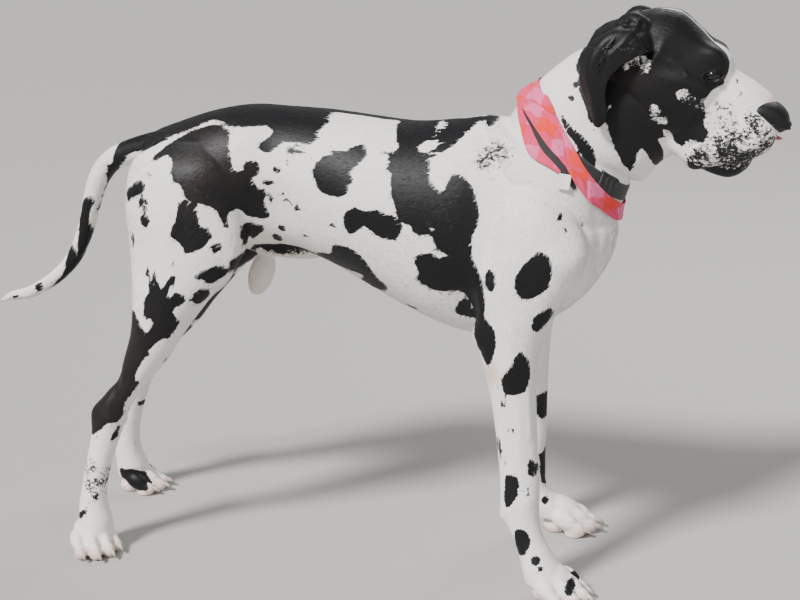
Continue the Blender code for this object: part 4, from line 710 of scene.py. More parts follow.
# The left side shows only at its edges in the photograph, so it is drawn in the same manner.
LEFT = """
-430,752 -360,742 -300,758 -262,748 -236,766 -190,772 -176,790 -120,786 -96,802 -60,790 -38,770 4,772 20,790 60,800 96,786 131,800 131,930 -430,930
131,835 150,806 168,760 196,742 232,750 240,776 226,800 240,830 262,842 300,838 330,850 330,930 131,930
-252,700 -238,664 -200,640 -150,642 -132,668 -146,690 -128,716 -150,736 -196,744 -214,722
-20,742 -34,716 -22,690 10,676 44,684 66,668 92,676 96,706 70,722 62,748 24,760
120,650 108,616 132,590 170,584 190,560 226,566 238,596 214,622 222,650 186,668 158,660
268,742 262,700 284,664 276,628 300,596 336,588 352,620 340,656 356,690 330,716 318,752
-20,604 -44,580 -30,556 14,548 50,560 44,586 12,596
404,640 380,612 386,576 416,566 440,590 432,622
-300,560 -318,520 -300,486 -268,480 -244,500 -250,540 -272,566
-330,470 -352,430 -366,380 -400,330 -430,300 -440,262 -400,262 -372,300 -340,350 -316,400 -290,440 -306,462
-120,560 -150,540 -146,520 -116,530 -100,548
290,520 276,480 296,450 322,470 316,508
352,280 392,292 392,246 370,236 356,256
-312,389 -253,430 -228,493 -191,524 -140,560 -93,575 -110,602 -160,584 -215,548 -262,500 -300,450 -335,400
378,186 374,168 366,167 367,120 373,96 394,96 396,184
-500,182 -512,160 -492,150 -476,172
-505,54 -500,31 -472,12 -440,15 -452,40 -470,56
-560,84 -572,66 -556,58 -546,74
150,520 140,506 166,498 184,510
60,640 50,626 66,616 80,628
-190,596 -204,580 -188,572 -176,586
-84,700 -96,684 -78,676 -66,690
210,700 200,684 218,676 228,692
330,560 318,544 336,536 346,550
440,520 424,500 436,486 452,504
480,780 462,800 452,830 470,836 490,806 500,784
"""
# The flank fold's inner side, off the middle of the belly: black hair and the fold's painted shade, both drawn as
# black.
FLANK_HAIR_AND_SHADE = """
-148,572 -138,590 -117,586 -86,590 -60,590 -35,587 -10,580 10,571 -16,560 -47,561 -68,566 -97,565 -122,558 -140,554
"""
# Round spots of the right and the left side: x, z and radius in millimetres.
SPOTS_RIGHT = (
    354, 365, 3, 352, 350, 3, 381, 333, 3, 368, 313, 5, 341, 288, 5, 347, 272, 4, 352, 256, 4, 399, 197, 3, 418, 80, 6,
    428, 67, 3, -31, 778, 9, 107, 743, 4, 105, 715, 5, -32, 675, 6, 37, 651, 4, -24, 620, 4, -87, 608, 7, -308, 678, 9,
    -306, 649, 10, -300, 556, 8, -280, 556, 8, -254, 545, 7, -114, 745, 13, -68, 744, 5, -45, 758, 4, -69, 680, 4,
    -72, 631, 6, 136, 774, 7, -320, 700, 4, -300, 730, 3, -60, 700, 3, -50, 690, 3, -84, 690, 4, -290, 600, 3, 60, 640, 3,
    462, 790, 4, 440, 690, 3, 452, 668, 3, 300, 770, 3, -335, 660, 3, -250, 575, 3, -418, 140, 5, -428, 110, 4,
    -405, 160, 3, -440, 130, 3, 500, 905, 3, 470, 890, 4, 455, 905, 3, 448, 882, 3, 480, 870, 2, -190, 560, 4,
)
# The torn edges eat into a small spot, so it is drawn wider by this.
SPOT_WIDER = 0.0026
SPOTS_LEFT = (
    -300, 640, 7, -320, 600, 5, -280, 700, 8, -60, 640, 6, -100, 560, 5, 120, 740, 7, 60, 560, 6, 220, 560, 7, 250, 500, 5,
    370, 480, 6, 350, 520, 5, 300, 420, 4, 345, 300, 4, 330, 240, 5, 378, 70, 4, -460, 120, 5, -450, 200, 5, -420, 330, 6,
    -350, 480, 7, -230, 560, 6, -180, 700, 7, 20, 700, 5, 480, 700, 4, 460, 880, 4, 300, 780, 6, -140, 610, 5, 160, 600, 5,
)
TAIL_PATCHES = """
-290,830 -295,789 -316,782 -328,771 -325,744 -331,747 -370,746 -383,739 -381,726 -404,716 -427,696 -444,671 -458,635 -462,632 -433,707 -439,735 -425,717 -412,754 -390,800
-466,658 -492,642 -506,532 -486,559 -473,594 -477,607 -471,636 -462,647
-520,560 -540,500 -570,470 -560,455 -520,490 -500,530
-585,480 -600,474 -596,460 -582,468
-640,452 -652,447 -648,440 -636,446
"""
# The black mask of the face, its white islands and its dark lips, in millimetres along and above the head's axes.
MASK = """
-51,160 -51,0 -35,-28 -16,-52 9,-69 22,-85 40,-78 46,-70 67,-92 122,-135 118,-83 153,-109 161,-97 151,-72 138,-59 146,-51 137,-40 151,-40 161,-50 178,-52 183,-33 194,-31 205,-26 208,-21 206,-6 196,-2 188,10 184,20 178,24 170,26 165,33 172,40 176,58 186,74 184,82 186,100 186,170
32,-90 35,-95 45,-96 41,-92
"""
ISLANDS = """
22,50 30,54 42,55 56,56 66,50 69,38 58,38 46,42 38,34 34,22 29,30
114,-28 120,-22 131,-19 135,-24 125,-30
101,-7 107,-5 113,-10 110,-15 103,-12
126,30 133,41 139,43 144,37 141,29 134,24
35,-39 42,-43 40,-56 36,-45
"""
LIPS = """
192,-61 194,-68 202,-80 225,-90 262,-80 290,-62 300,-40 302,-10 292,-14 284,-32 268,-44 245,-56 236,-60 212,-66
"""
# The upper lip's dark edge, from the front back to the corner of the mouth.
LIP_EDGE = ((0.306, 0.024), (0.302, 0.014), (0.297, 0.006), (0.291, -0.003), (0.281, -0.015), (0.271, -0.028),
            (0.262, -0.040), (0.250, -0.052), (0.238, -0.062), (0.221, -0.074), (0.206, -0.074))
BLAZE = (-60, 0, 30, 0, 45, 5, 60, 5, 75, 1.5, 90, 4, 135, 5.5, 148, 12, 165, 20, 180, 30, 200, 42, 320, 60)
# Spots of the face, along and above the head's axes, and their radii.
SPOTS_FACE = (
    202, 39, 5, 222, 34, 5, 203, 86, 5, 218, 72, 6, 238, 12, 6, 226, -10, 8, 248, 11, 5, 192, 43, 4, 223, 16, 5, 244, 45, 4,
    212, 52, 3, 233, 28, 3, 210, 20, 4, 262, 20, 5, 255, -16, 6, 240, -30, 8, 215, -40, 7, 268, 34, 5, 206, -52, 7,
)


def outlines(text, scale=0.001):
    """Each line's points as a closed smooth outline."""
    found = []
    for line in text.strip().splitlines():
        points = np.array([[float(v) for v in pair.split(",")] for pair in line.split()]) * scale
        found.append(spline(points, 3 * len(points), closed=True))
    return found


def outline_distance(points, shapes, reach=0.03):
    """How far inside the nearest outline each point lies, negative outside and never below -reach."""
    best = np.full(len(points), -reach)
    for shape in shapes:
        near = np.flatnonzero(((points > shape.min(0) - reach) & (points < shape.max(0) + reach)).all(1))
        for part in np.array_split(near, max(1, len(near) * len(shape) // 2000000)):
            p = points[part]
            away = path_distance(p, np.vstack([shape, shape[:1]]))
            a, b = shape, np.roll(shape, -1, 0)
            crossing = (a[:, 1] > p[:, 1:2]) != (b[:, 1] > p[:, 1:2])
            with np.errstate(divide="ignore", invalid="ignore"):
                at = a[:, 0] + (p[:, 1:2] - a[:, 1]) / (b[:, 1] - a[:, 1]) * (b[:, 0] - a[:, 0])
            inside = (crossing & (p[:, :1] < at)).sum(1) % 2 == 1
            best[part] = np.maximum(best[part], np.where(inside, away, -away))
    return best


def spot_distance(points, spots, best, wider=0.0):
    """best, or how far inside the nearest round spot, made wider, each point lies if that is more."""
    for x, z, radius in np.reshape(spots, (-1, 3)) / 1000:
        best = np.maximum(best, radius + wider - np.hypot(points[:, 0] - x, points[:, 1] - z))
    return best


def coat_marks(points):
    """For points in the dog's frame: 0.5 + d / 0.06 for the distance d inside black (with painted shade at the flank
    fold), roan, brown (a brownish sheen painted on the black) and bare pink skin.
    """
    flat = points[:, ::2]
    side = smoothstep(-0.012, 0.012, points[:, 1])
    right = spot_distance(flat, SPOTS_RIGHT, outline_distance(flat, outlines(RIGHT)), SPOT_WIDER)
    left = spot_distance(flat, SPOTS_LEFT, outline_distance(flat, outlines(LEFT)), SPOT_WIDER)
    body = right * (1 - side) + left * side
    # the flank band: black hair together with the fold's painted shade, kept off the belly's middle
    body = np.maximum(body, np.minimum(outline_distance(flat, outlines(FLANK_HAIR_AND_SHADE)), np.abs(points[:, 1]) - 0.015))
    tail = outline_distance(flat, outlines(TAIL_PATCHES))
    share = smoothstep(-0.36, -0.42, flat[:, 0]) * (flat[:, 1] > 0.40)
    black = body * (1 - share) + tail * share
    # the head: a mask with a blaze, white before it, and black ears
    s, y, t = body_to_head(points).T
    on_head = ((points - JOIN_MIDDLE) @ JOIN_WAY > 0) & (s > -0.16)
    face = np.stack([s, t], 1)
    drift = np.where((y > 0.01)[:, None], (0.004, -0.006), (0.0, 0.0)) + 0.0
    mask = outline_distance(face + drift, outlines(MASK))
    mask = np.minimum(mask, -outline_distance(face, outlines(ISLANDS)))
    mottled = bell(face, (0.158, 0.029), (0.019, 0.012)) + 0.7 * bell(face, (0.112, -0.020), (0.018, 0.016))
    mask = np.where(mask > 0, mask * (1 - np.clip(mottled, 0, 1)), mask)
    blaze = np.interp(s * 1000, BLAZE[::2], BLAZE[1::2]) / 1000
    on_top = t > 0.05
    mask = np.where(on_top, np.minimum(mask, np.abs(y) - blaze), mask)
    mask = np.maximum(mask, outline_distance(face, outlines(LIPS)))
    mask = np.maximum(mask, 0.0034 - path_distance(face, np.array(LIP_EDGE)))
    mask = np.maximum(mask, spot_distance(face + drift, SPOTS_FACE, mask) - 0.002 * (mask < 0))
    mask = np.where(near_ears(points), 0.03, mask)
    black = np.where(on_head, np.maximum(black, mask), black)
    roan = 1.05 * bell(points, (0.322, -0.10, 0.785), (0.040, 0.2, 0.034)) + 0.5 * bell(points, (0.24, 0, 0.56), (0.06, 1, 0.04))
    muzzle = np.maximum(bell(face, (0.262, -0.016), (0.062, 0.050)), 0.9 * bell(face, (0.215, -0.052), (0.035, 0.026)))
    muzzle = np.maximum(muzzle, 0.42 * bell(face, (0.215, 0.030), (0.035, 0.040)) * (np.abs(y) > 0.012))
    muzzle = np.maximum(muzzle, 1.0 * bell(face, (0.262, 0.046), (0.022, 0.024)))
    muzzle = np.maximum(muzzle, 0.80 * bell(face, (0.292, 0.022), (0.030, 0.040)))
    muzzle = np.maximum(muzzle, 0.95 * bell(face, (0.288, 0.026), (0.028, 0.040)))
    roan += 0.96 * muzzle * on_head * (s > 0.12) + 0.9 * mottled * on_head
    roan += 0.75 * bell(face, (0.046, 0.042), (0.030, 0.022)) * on_head + 0.5 * bell(face, (0.155, 0.005), (0.03, 0.03)) * on_head
    roan += 0.55 * bell(points, (-0.435, -0.14, 0.15), (0.03, 0.06, 0.06)) + 0.10 * (points[:, 2] < 0.3)
    # brown: a brownish sheen painted on the black of the rump, the hind leg and the cheek
    brown = bell(points, (-0.20, -0.1, 0.73), (0.10, 0.3, 0.09)) + bell(points, (-0.36, -0.12, 0.36), (0.10, 0.3, 0.14))
    brown += 0.6 * bell(np.stack([s, t], 1), (0.06, 0.02), (0.06, 0.05)) * on_head
    pink = 0.9 * bell(np.stack([s, y, t], 1), (0.262, 0, 0.075), (0.030, 0.022, 0.016)) * on_head
    pink += 0.45 * bell(points, (-0.150, 0, 0.505), (0.030, 0.04, 0.035)) + 0.3 * bell(points, (-0.05, 0, 0.56), (0.15, 0.05, 0.03))
    pink += 0.95 * bell(points * (1, 0, 1), (0.331, 0, 0.412), (0.016, 1, 0.024)) * (points[:, 1] < 0)
    pink += 0.55 * (points[:, 2] < 0.026)
    pink += 0.35 * bell(points, (0.030 - 0.44, -0.130, 0.262), (0.03, 0.05, 0.02))
    return np.clip(np.stack([0.5 + black / 0.06, roan, brown, pink], 1), 0, 1)


def add_marks(obj, marks, roots):
    """Stores the coat's marks, and the place at which fine noise is read, with each vertex of an object."""
    colours = obj.data.color_attributes.new("marks", "FLOAT_COLOR", "POINT")
    colours.data.foreach_set("color", np.ascontiguousarray(marks, float).ravel())
    places = obj.data.attributes.new("root", "FLOAT_VECTOR", "POINT")
    places.data.foreach_set("vector", np.ascontiguousarray(roots, float).ravel())


def linear(colour):
    """An sRGB hex colour as linear red, green, blue and 1."""
    values = [int(colour[i:i + 2], 16) / 255 for i in (1, 3, 5)]
    return (*(v / 12.92 if v <= 0.04045 else ((v + 0.055) / 1.055) ** 2.4 for v in values), 1.0)


def add(tree, kind, inputs=None, **settings):
    """Adds a node. inputs gives each socket a value or the socket that feeds it."""
    made = tree.nodes.new(kind)
    for name, value in settings.items():
        setattr(made, name, value)
    for name, value in (inputs or {}).items():
        if isinstance(value, bpy.types.NodeSocket):
            tree.links.new(value, made.inputs[name])
        else:
            made.inputs[name].default_value = value
    return made


def calc(tree, operation, *values, clamp=False):
    made = add(tree, "ShaderNodeMath", dict(enumerate(values)), operation=operation, use_clamp=clamp)
    return made.outputs[0]


def ramp(tree, value, low, high, to_low=0.0, to_high=1.0):
    """value mapped smoothly from low..high to to_low..to_high."""
    made = add(tree, "ShaderNodeMapRange", {"Value": value, "From Min": low, "From Max": high, "To Min": to_low,
                                            "To Max": to_high}, interpolation_type="SMOOTHSTEP")
    return made.outputs[0]


def blend(tree, factor, first, second, mode="MIX"):
    made = add(tree, "ShaderNodeMix", {0: factor, 6: first, 7: second}, data_type="RGBA", blend_type=mode)
    return made.outputs[2]


def grain(tree, vector, size, detail=2.0, stretch=(1, 1, 1), distortion=0.0):
    """Noise whose features are about size across, drawn out by stretch. Its mean is 0.5."""
    if stretch != (1, 1, 1):
        vector = add(tree, "ShaderNodeMapping", {"Vector": vector, "Scale": [1 / v for v in stretch]}).outputs[0]
    made = add(tree, "ShaderNodeTexNoise", {"Vector": vector, "Scale": 1 / size, "Detail": detail,
                                            "Distortion": distortion})
    return made.outputs[0]


def new_material(name):
    """A material with a Principled shader: the material, its tree and the shader."""
    made = bpy.data.materials.new(name)
    made.use_nodes = True
    return made, made.node_tree, made.node_tree.nodes["Principled BSDF"]


def coat_material(name, bump):
    """Short smooth dog's coat: marks give white, black, a brownish sheen painted on the black, roan and pink; fine
    noise tears their edges.
    """
    made, tree, shader = new_material(name)
    marks = add(tree, "ShaderNodeAttribute", attribute_name="marks")
    root = add(tree, "ShaderNodeAttribute", attribute_name="root").outputs["Vector"]
    parts = add(tree, "ShaderNodeSeparateColor", {0: marks.outputs["Color"]})
    inside = calc(tree, "MULTIPLY", calc(tree, "SUBTRACT", parts.outputs[0], 0.5), 0.06)
    torn = inside
    for size, amount in ((0.022, 0.0050), (0.008, 0.0050), (0.0030, 0.0050), (0.0013, 0.0028)):
        shift = calc(tree, "MULTIPLY", calc(tree, "SUBTRACT", grain(tree, root, size), 0.5), amount)
        torn = calc(tree, "ADD", torn, shift)
    # flecks, thicker where the roan is and close to the patches
    coarse, small = grain(tree, root, 0.0050, 3.0, (1.4, 1, 1)), grain(tree, root, 0.0018, 2.0)
    flecks = calc(tree, "MULTIPLY_ADD", coarse, 0.55, calc(tree, "MULTIPLY", small, 0.45))
    near = ramp(tree, inside, -0.013, -0.001, 0.0, 0.10)
    ragged = calc(tree, "MULTIPLY", calc(tree, "SUBTRACT", flecks, 0.5), calc(tree, "MULTIPLY", parts.outputs[1], 0.045))
    black = ramp(tree, calc(tree, "ADD", torn, ragged), -0.0001, 0.0010)
    thick = calc(tree, "MULTIPLY_ADD", parts.outputs[1], 0.28, near)
    ticks = ramp(tree, calc(tree, "ADD", flecks, thick), 0.730, 0.765)
    # colours read from the animal: clean white, cream tone, charcoal black, and a brownish sheen painted on the black
    cloud = grain(tree, root, 0.06)
    white = blend(tree, cloud, linear("#f0eeea"), linear("#e6e2db"))
    strand = grain(tree, root, 0.0011, 2.0, (3.0, 1, 1.6))
    white = blend(tree, calc(tree, "MULTIPLY", strand, 0.22), white, linear("#c4bcb2"))
    white = blend(tree, calc(tree, "MULTIPLY", marks.outputs["Alpha"], 0.75), white, linear("#cf9f90"))
    white = blend(tree, calc(tree, "MULTIPLY", ticks, 0.99), white, linear("#131214"))
    dark = blend(tree, strand, linear("#060608"), linear("#121114"))
    brownish_sheen = calc(tree, "MULTIPLY", parts.outputs[2], ramp(tree, cloud, 0.35, 0.65, 0.2, 0.75))
    dark = blend(tree, brownish_sheen, dark, blend(tree, strand, linear("#171210"), linear("#2b221d")))
    colour = blend(tree, black, white, dark)
    tree.links.new(colour, shader.inputs["Base Color"])
    tree.links.new(ramp(tree, black, 0, 1, 0.60, 0.50), shader.inputs["Roughness"])
    shader.inputs["Specular IOR Level"].default_value = 0.26
    shader.inputs["Sheen Weight"].default_value = 0.02
    shader.inputs["Sheen Roughness"].default_value = 0.40
    if bump:
        fine = grain(tree, root, 0.0014, 3.0, (3.5, 1, 1.8))
        broad = grain(tree, root, 0.009, 2.0, (2.0, 1, 1.2))
        height = calc(tree, "ADD", fine, calc(tree, "MULTIPLY", broad, 1.5))
        hair = add(tree, "ShaderNodeBump", {"Height": height, "Strength": 0.35, "Distance": 0.0005})
        tree.links.new(hair.outputs[0], shader.inputs["Normal"])
    return made


def painted(obj, material):
    obj.data.materials.clear()
    obj.data.materials.append(material)
    return obj



def eye_ball(side):
    """r(a) = R + bulge smooth(1 - a / 32 degrees), a being the angle to the way out; UV holds that angle and the turn."""
    centre, along, up, look = eye_frame(side)
    rings, segments = 64, 96
    away = np.linspace(0.004, math.pi - 0.004, rings)
    turn = np.linspace(0, 2 * math.pi, segments, endpoint=False)
    radius = EYE_RADIUS + 0.0011 * smoothstep(math.radians(32), math.radians(12), away)
    out = np.cos(away)[:, None, None] * look + np.sin(away)[:, None, None] * (
        np.cos(turn)[None, :, None] * along + np.sin(turn)[None, :, None] * up)
    points = centre + radius[:, None, None] * out
    points = np.vstack([points.reshape(-1, 3), points[0].mean(0), points[-1].mean(0)])
    name = "eyeball_right" if side < 0 else "eyeball_left"
    obj = piece_of(name, points, tube_faces(rings, segments))
    angle = np.append(np.repeat(away, segments), [0, math.pi])
    spin = np.append(np.tile(turn, rings), [0, 0])
    held = obj.data.attributes.new("gaze", "FLOAT_VECTOR", "POINT")
    held.data.foreach_set("vector", np.stack([angle, np.cos(spin), np.sin(spin)], 1).ravel())
    return obj


def eye_material():
    """Wet eye: black pupil, dark brown iris with fine rays, brownish white, under a clear glossy coat."""
    made, tree, shader = new_material("wet_eye")
    gaze = add(tree, "ShaderNodeAttribute", attribute_name="gaze").outputs["Vector"]
    angle = add(tree, "ShaderNodeSeparateXYZ", {0: gaze}).outputs[0]
    rays = grain(tree, gaze, 0.09, 4.0, (3.0, 1, 1))
    iris = blend(tree, rays, linear("#0d0603"), linear("#241308"))
    ring = ramp(tree, angle, math.radians(27), math.radians(32))
    colour = blend(tree, ramp(tree, angle, math.radians(12), math.radians(13.5)), linear("#040404"), iris)
    colour = blend(tree, ring, colour, linear("#140d0a"))
    white = blend(tree, grain(tree, gaze, 0.2), linear("#1d1412"), linear("#120c0a"))
    colour = blend(tree, ramp(tree, angle, math.radians(33), math.radians(37)), colour, white)
    tree.links.new(colour, shader.inputs["Base Color"])
    shader.inputs["Roughness"].default_value = 0.22
    shader.inputs["IOR"].default_value = 1.38
    shader.inputs["Specular IOR Level"].default_value = 0.25
    shader.inputs["Coat Weight"].default_value = 0.6
    shader.inputs["Coat Roughness"].default_value = 0.03
    return made


def lid_surface(side, skin_tree):
    """Both lids of one eye as a ring of profiles round its opening.

    At turn a the rim is (A cos a, B sin a) on the ball, B being the upper or lower height. Outwards the profile
    climbs over a rounded rim, dips into the lid's fold and ends just under the skin.
    """
    centre, along, up, look = eye_frame(side)
    segments = 96
    turn = np.linspace(0, 2 * math.pi, segments, endpoint=False)
    half, above, below = LID_HALF
    edge_u = half * np.sign(np.cos(turn)) * np.abs(np.cos(turn)) ** 0.9
    height = np.where(np.sin(turn) > 0, above, below)
    edge_v = height * np.sin(turn) * (0.75 + 0.25 * np.abs(np.sin(turn)))
    # (how far out from the rim in metres, how far over the ball or skin)
    profile = [(-0.0012, -0.0016), (0.0, 0.0002), (0.0003, 0.0012), (0.0011, 0.0019), (0.0022, 0.0019), (0.0033, 0.0012),
               (0.0044, 0.0010), (0.0056, 0.0013), (0.0070, 0.0008), (0.0085, 0.0001), (0.0100, -0.0010)]
    profile = spline(profile, 31)
    away = np.stack([np.cos(turn), np.sin(turn)], 1)
    rows = []
    for out, lift in profile:
        share = np.clip(out / 0.0100, 0, 1)
        u, v = edge_u + out * away[:, 0], edge_v + out * away[:, 1]
        ball = np.sqrt(np.maximum((EYE_RADIUS + 0.0004) ** 2 - u**2 - v**2, 0.0050**2))
        met = []
        for a, b in zip(u, v):
            hit = skin_tree.ray_cast(Vector(centre + a * along + b * up + 0.04 * look), Vector(-look))[0]
            met.append((np.array(hit) - centre) @ look if hit is not None else 0.0)
        met = np.array(met)
        base = ball * (1 - smoothstep(0.15, 0.75, share)) + met * smoothstep(0.15, 0.75, share)
        w = base + lift
        rows.append(centre + u[:, None] * along + v[:, None] * up + w[:, None] * look)
    points = np.vstack(rows)
    return piece_of("lids_right" if side < 0 else "lids_left", points, grid_faces(len(profile), segments, ring=True))


# Which way the coat lies: places in the dog's frame, right side, and the way the hair points there.
LIE = [
    ((0.790, -0.010, 0.870), (-0.80, -0.10, 0.40)), ((0.740, -0.040, 0.890), (-0.90, -0.10, 0.10)),
    ((0.740, -0.045, 0.800), (-0.80, -0.10, -0.55)), ((0.690, -0.045, 0.780), (-0.70, 0.00, -0.70)),
    ((0.680, -0.020, 0.950), (-0.85, -0.20, 0.40)), ((0.640, -0.070, 0.880), (-0.90, -0.10, -0.40)),
    ((0.620, -0.030, 1.000), (-0.95, -0.10, 0.10)), ((0.560, 0.000, 1.010), (-0.95, 0.00, -0.30)),
    ((0.580, -0.060, 0.840), (-0.80, 0.00, -0.60)), ((0.510, -0.110, 0.960), (-0.45, -0.10, -0.90)),
    ((0.495, -0.110, 0.880), (-0.05, 0.00, -1.00)), ((0.460, -0.020, 0.930), (-0.80, 0.00, -0.60)),
    ((0.480, -0.070, 0.830), (-0.60, 0.00, -0.80)), ((0.560, 0.000, 0.750), (-0.50, 0.00, -0.85)),
    ((0.400, -0.060, 0.830), (-0.85, 0.00, -0.50)), ((0.520, -0.020, 0.640), (-0.10, -0.20, -1.00)),
    ((0.430, -0.100, 0.650), (-0.40, -0.10, -0.90)), ((0.300, 0.000, 0.840), (-1.00, 0.00, -0.05)),
    ((0.280, -0.130, 0.700), (-0.75, 0.00, -0.65)), ((0.100, -0.130, 0.690), (-0.95, 0.00, -0.30)),
    ((0.000, 0.000, 0.835), (-1.00, 0.00, 0.00)), ((0.100, 0.000, 0.480), (-1.00, 0.00, 0.10)),
    ((-0.100, -0.110, 0.680), (-0.90, 0.00, -0.45)), ((-0.130, -0.100, 0.590), (-0.80, 0.00, -0.60)),
    ((-0.280, 0.000, 0.800), (-1.00, 0.00, -0.20)), ((-0.260, -0.140, 0.650), (-0.55, 0.00, -0.85)),
    ((-0.350, -0.090, 0.640), (-0.20, 0.00, -1.00)), ((-0.260, -0.150, 0.520), (-0.40, 0.00, -0.90)),
    ((-0.330, -0.120, 0.400), (-0.45, 0.00, -0.90)), ((-0.410, -0.130, 0.270), (-0.20, 0.00, -1.00)),
    ((-0.440, -0.140, 0.120), (-0.10, 0.00, -1.00)), ((0.370, -0.130, 0.400), (0.00, 0.00, -1.00)),
    ((0.380, -0.140, 0.180), (0.00, 0.00, -1.00)), ((0.410, -0.150, 0.080), (0.50, 0.00, -0.85)),
    ((0.470, -0.160, 0.030), (0.85, -0.20, -0.40)), ((-0.410, -0.170, 0.030), (0.80, -0.40, -0.40)),
    ((-0.400, 0.000, 0.730), (-0.90, 0.00, -0.45)), ((-0.470, 0.000, 0.650), (-0.30, 0.00, -0.95)),
    ((-0.505, 0.000, 0.550), (-0.40, 0.00, -0.90)), ((-0.600, 0.000, 0.460), (-0.90, 0.00, -0.35)),
]


def lie_of(points, outward):
    """The way the hair points: the guides' ways weighted by 1 / d^4, laid into the skin."""
    total = np.zeros_like(points)
    same = points * (1, -1, 1) * np.where(points[:, 1:2] > 0, 1, 0) + points * np.where(points[:, 1:2] > 0, 0, 1)
    for place, way in LIE:
        weight = 1 / (((same - place) ** 2).sum(1) + 0.0004) ** 2
        total += weight[:, None] * way
    total[:, 1] *= np.where(points[:, 1] > 0, -1, 1)
    total -= (total * outward).sum(1)[:, None] * outward
    return total / (np.linalg.norm(total, axis=1)[:, None] + 1e-12)


def tuft_length(points):
    """Length of the coat's tufts in metres: shortest on face and feet, longest behind the thighs and under the tail."""
    s, y, t = body_to_head(points).T
    length = 0.0075 + 0 * s
    length += 0.0045 * bell(points, (-0.350, 0, 0.640), (0.045, 0.2, 0.12))
    length += 0.0035 * bell(points, (0.520, 0, 0.640), (0.05, 0.1, 0.10)) + 0.002 * (points[:, 0] < -0.42) * (points[:, 2] > 0.4)
    legs = smoothstep(0.48, 0.34, points[:, 2]) * (points[:, 0] > -0.46)
    length = length * (1 - 0.35 * legs)
    length = np.where(points[:, 2] < 0.075, 0.0040, length)
    on_head = (points - JOIN_MIDDLE) @ JOIN_WAY > 0
    face = 0.0030 + 0.0055 * smoothstep(0.20, 0.00, s)
    return np.where(on_head, np.minimum(length, face), length)


COAT_PARTS = ("coat_head", "coat_neck", "coat_trunk_right", "coat_trunk_left", "coat_forelegs", "coat_hind_right",
              "coat_hind_left")
TUFTS_EACH = 20500


def part_of(points):
    """Which piece of the coat each point belongs to, as an index into COAT_PARTS."""
    x, y, z = points.T
    part = np.where(y < 0, 2, 3)
    part = np.where((x > 0.30) & (z > 0.50), 1, part)
    part = np.where((x > 0.20) & (z < 0.50), 4, part)
    hind = (x < -0.12) & ((z < 0.60) | (x < -0.26))
    part = np.where(hind, np.where(y < 0, 5, 6), part)
    return np.where((points - JOIN_MIDDLE) @ JOIN_WAY > 0.02, 0, part)


def build_coat(skin, share):
    """Tufts over the whole skin. Each is a curved three-sided blade: a root triangle, a narrower middle one and a tip.

    The root lies at p, the middle at p + l (0.5 d + 0.10 n) and the tip at p + l (d + 0.10 n), d being the lie and n
    the skin's normal. Its marks are the skin's at its root, and its OFBake patch lies where its root is unwrapped.
    """
    mesh = skin.data
    mesh.calc_loop_triangles()
    count = len(mesh.loop_triangles)
    corners, loops = np.empty(count * 3, int), np.empty(count * 3, int)
    mesh.loop_triangles.foreach_get("vertices", corners)
    mesh.loop_triangles.foreach_get("loops", loops)
    corners, loops = corners.reshape(-1, 3), loops.reshape(-1, 3)
    place, outward = positions(skin) + SHIFT, normals(skin)
    marks = np.empty(len(place) * 4)
    mesh.color_attributes["marks"].data.foreach_get("color", marks)
    marks = marks.reshape(-1, 4)
    unwrap = np.empty(len(mesh.loops) * 2)
    mesh.uv_layers["OFBake"].data.foreach_get("uv", unwrap)
    unwrap = unwrap.reshape(-1, 2)
    a, b, c = (place[corners[:, k]] for k in range(3))
    area = np.linalg.norm(np.cross(b - a, c - a), axis=1) / 2
    middle = (a + b + c) / 3
    area *= (middle[:, 2] > 0.004) * ~under_cloth(middle)
    # a face's hair is finer and denser
    area *= np.where(body_to_head(middle)[:, 0] > 0.05, np.where((middle - JOIN_MIDDLE) @ JOIN_WAY > 0, 2.2, 1.0), 1.0)
    part = part_of(middle)
    coat = bpy.data.materials["short_coat_tufts"]
    made = []
    for index, name in enumerate(COAT_PARTS):
        rng = np.random.default_rng(100 + index)
        own = np.flatnonzero(part == index)
        number = int(TUFTS_EACH * share)
        chance = area[own] / area[own].sum()
        face = own[rng.choice(len(own), number, p=chance)]
        one, two = np.sqrt(rng.random(number)), rng.random(number)
        weight = np.stack([1 - one, one * (1 - two), one * two], 1)[..., None]
        root = (place[corners[face]] * weight).sum(1)
        normal = (outward[corners[face]] * weight).sum(1)
        normal /= np.linalg.norm(normal, axis=1)[:, None]
        mark = (marks[corners[face]] * weight).sum(1)
        uv = (unwrap[loops[face]] * weight).sum(1)
        way = lie_of(root, normal)
        cross = np.cross(normal, way)
        way = way + cross * rng.normal(0, 0.09, number)[:, None]
        way /= np.linalg.norm(way, axis=1)[:, None]
        cross = np.cross(normal, way)
        length = (tuft_length(root) * rng.uniform(0.75, 1.2, number))[:, None]
        lift = (0.022 + 0.045 * rng.random(number) ** 2)[:, None]
        width = np.clip(0.055 * length, 0.00020, 0.00042) * rng.uniform(0.8, 1.3, number)[:, None]
        rise = 0.45 * width
        sunk = root - 0.0002 * normal
        half = sunk + length * (0.5 * way + lift * normal)
        tip = sunk + length * (way + 0.9 * lift * normal)
        blade = np.stack([
            sunk - width * cross, sunk + width * cross, sunk + rise * normal, half - 0.75 * width * cross,
            half + 0.75 * width * cross, half + 0.7 * rise * normal, tip], 1)
        blade[:, :, 2] = np.maximum(blade[:, :, 2], 0.0004)
        obj = blades(name, blade, mark, root, uv, normal, rng)
        painted(obj, coat)
        made.append(obj)
    return made


BLADE = ((0, 3, 2), (3, 5, 2), (2, 5, 1), (5, 4, 1), (0, 1, 3), (1, 4, 3), (3, 6, 5), (5, 6, 4), (4, 6, 3))


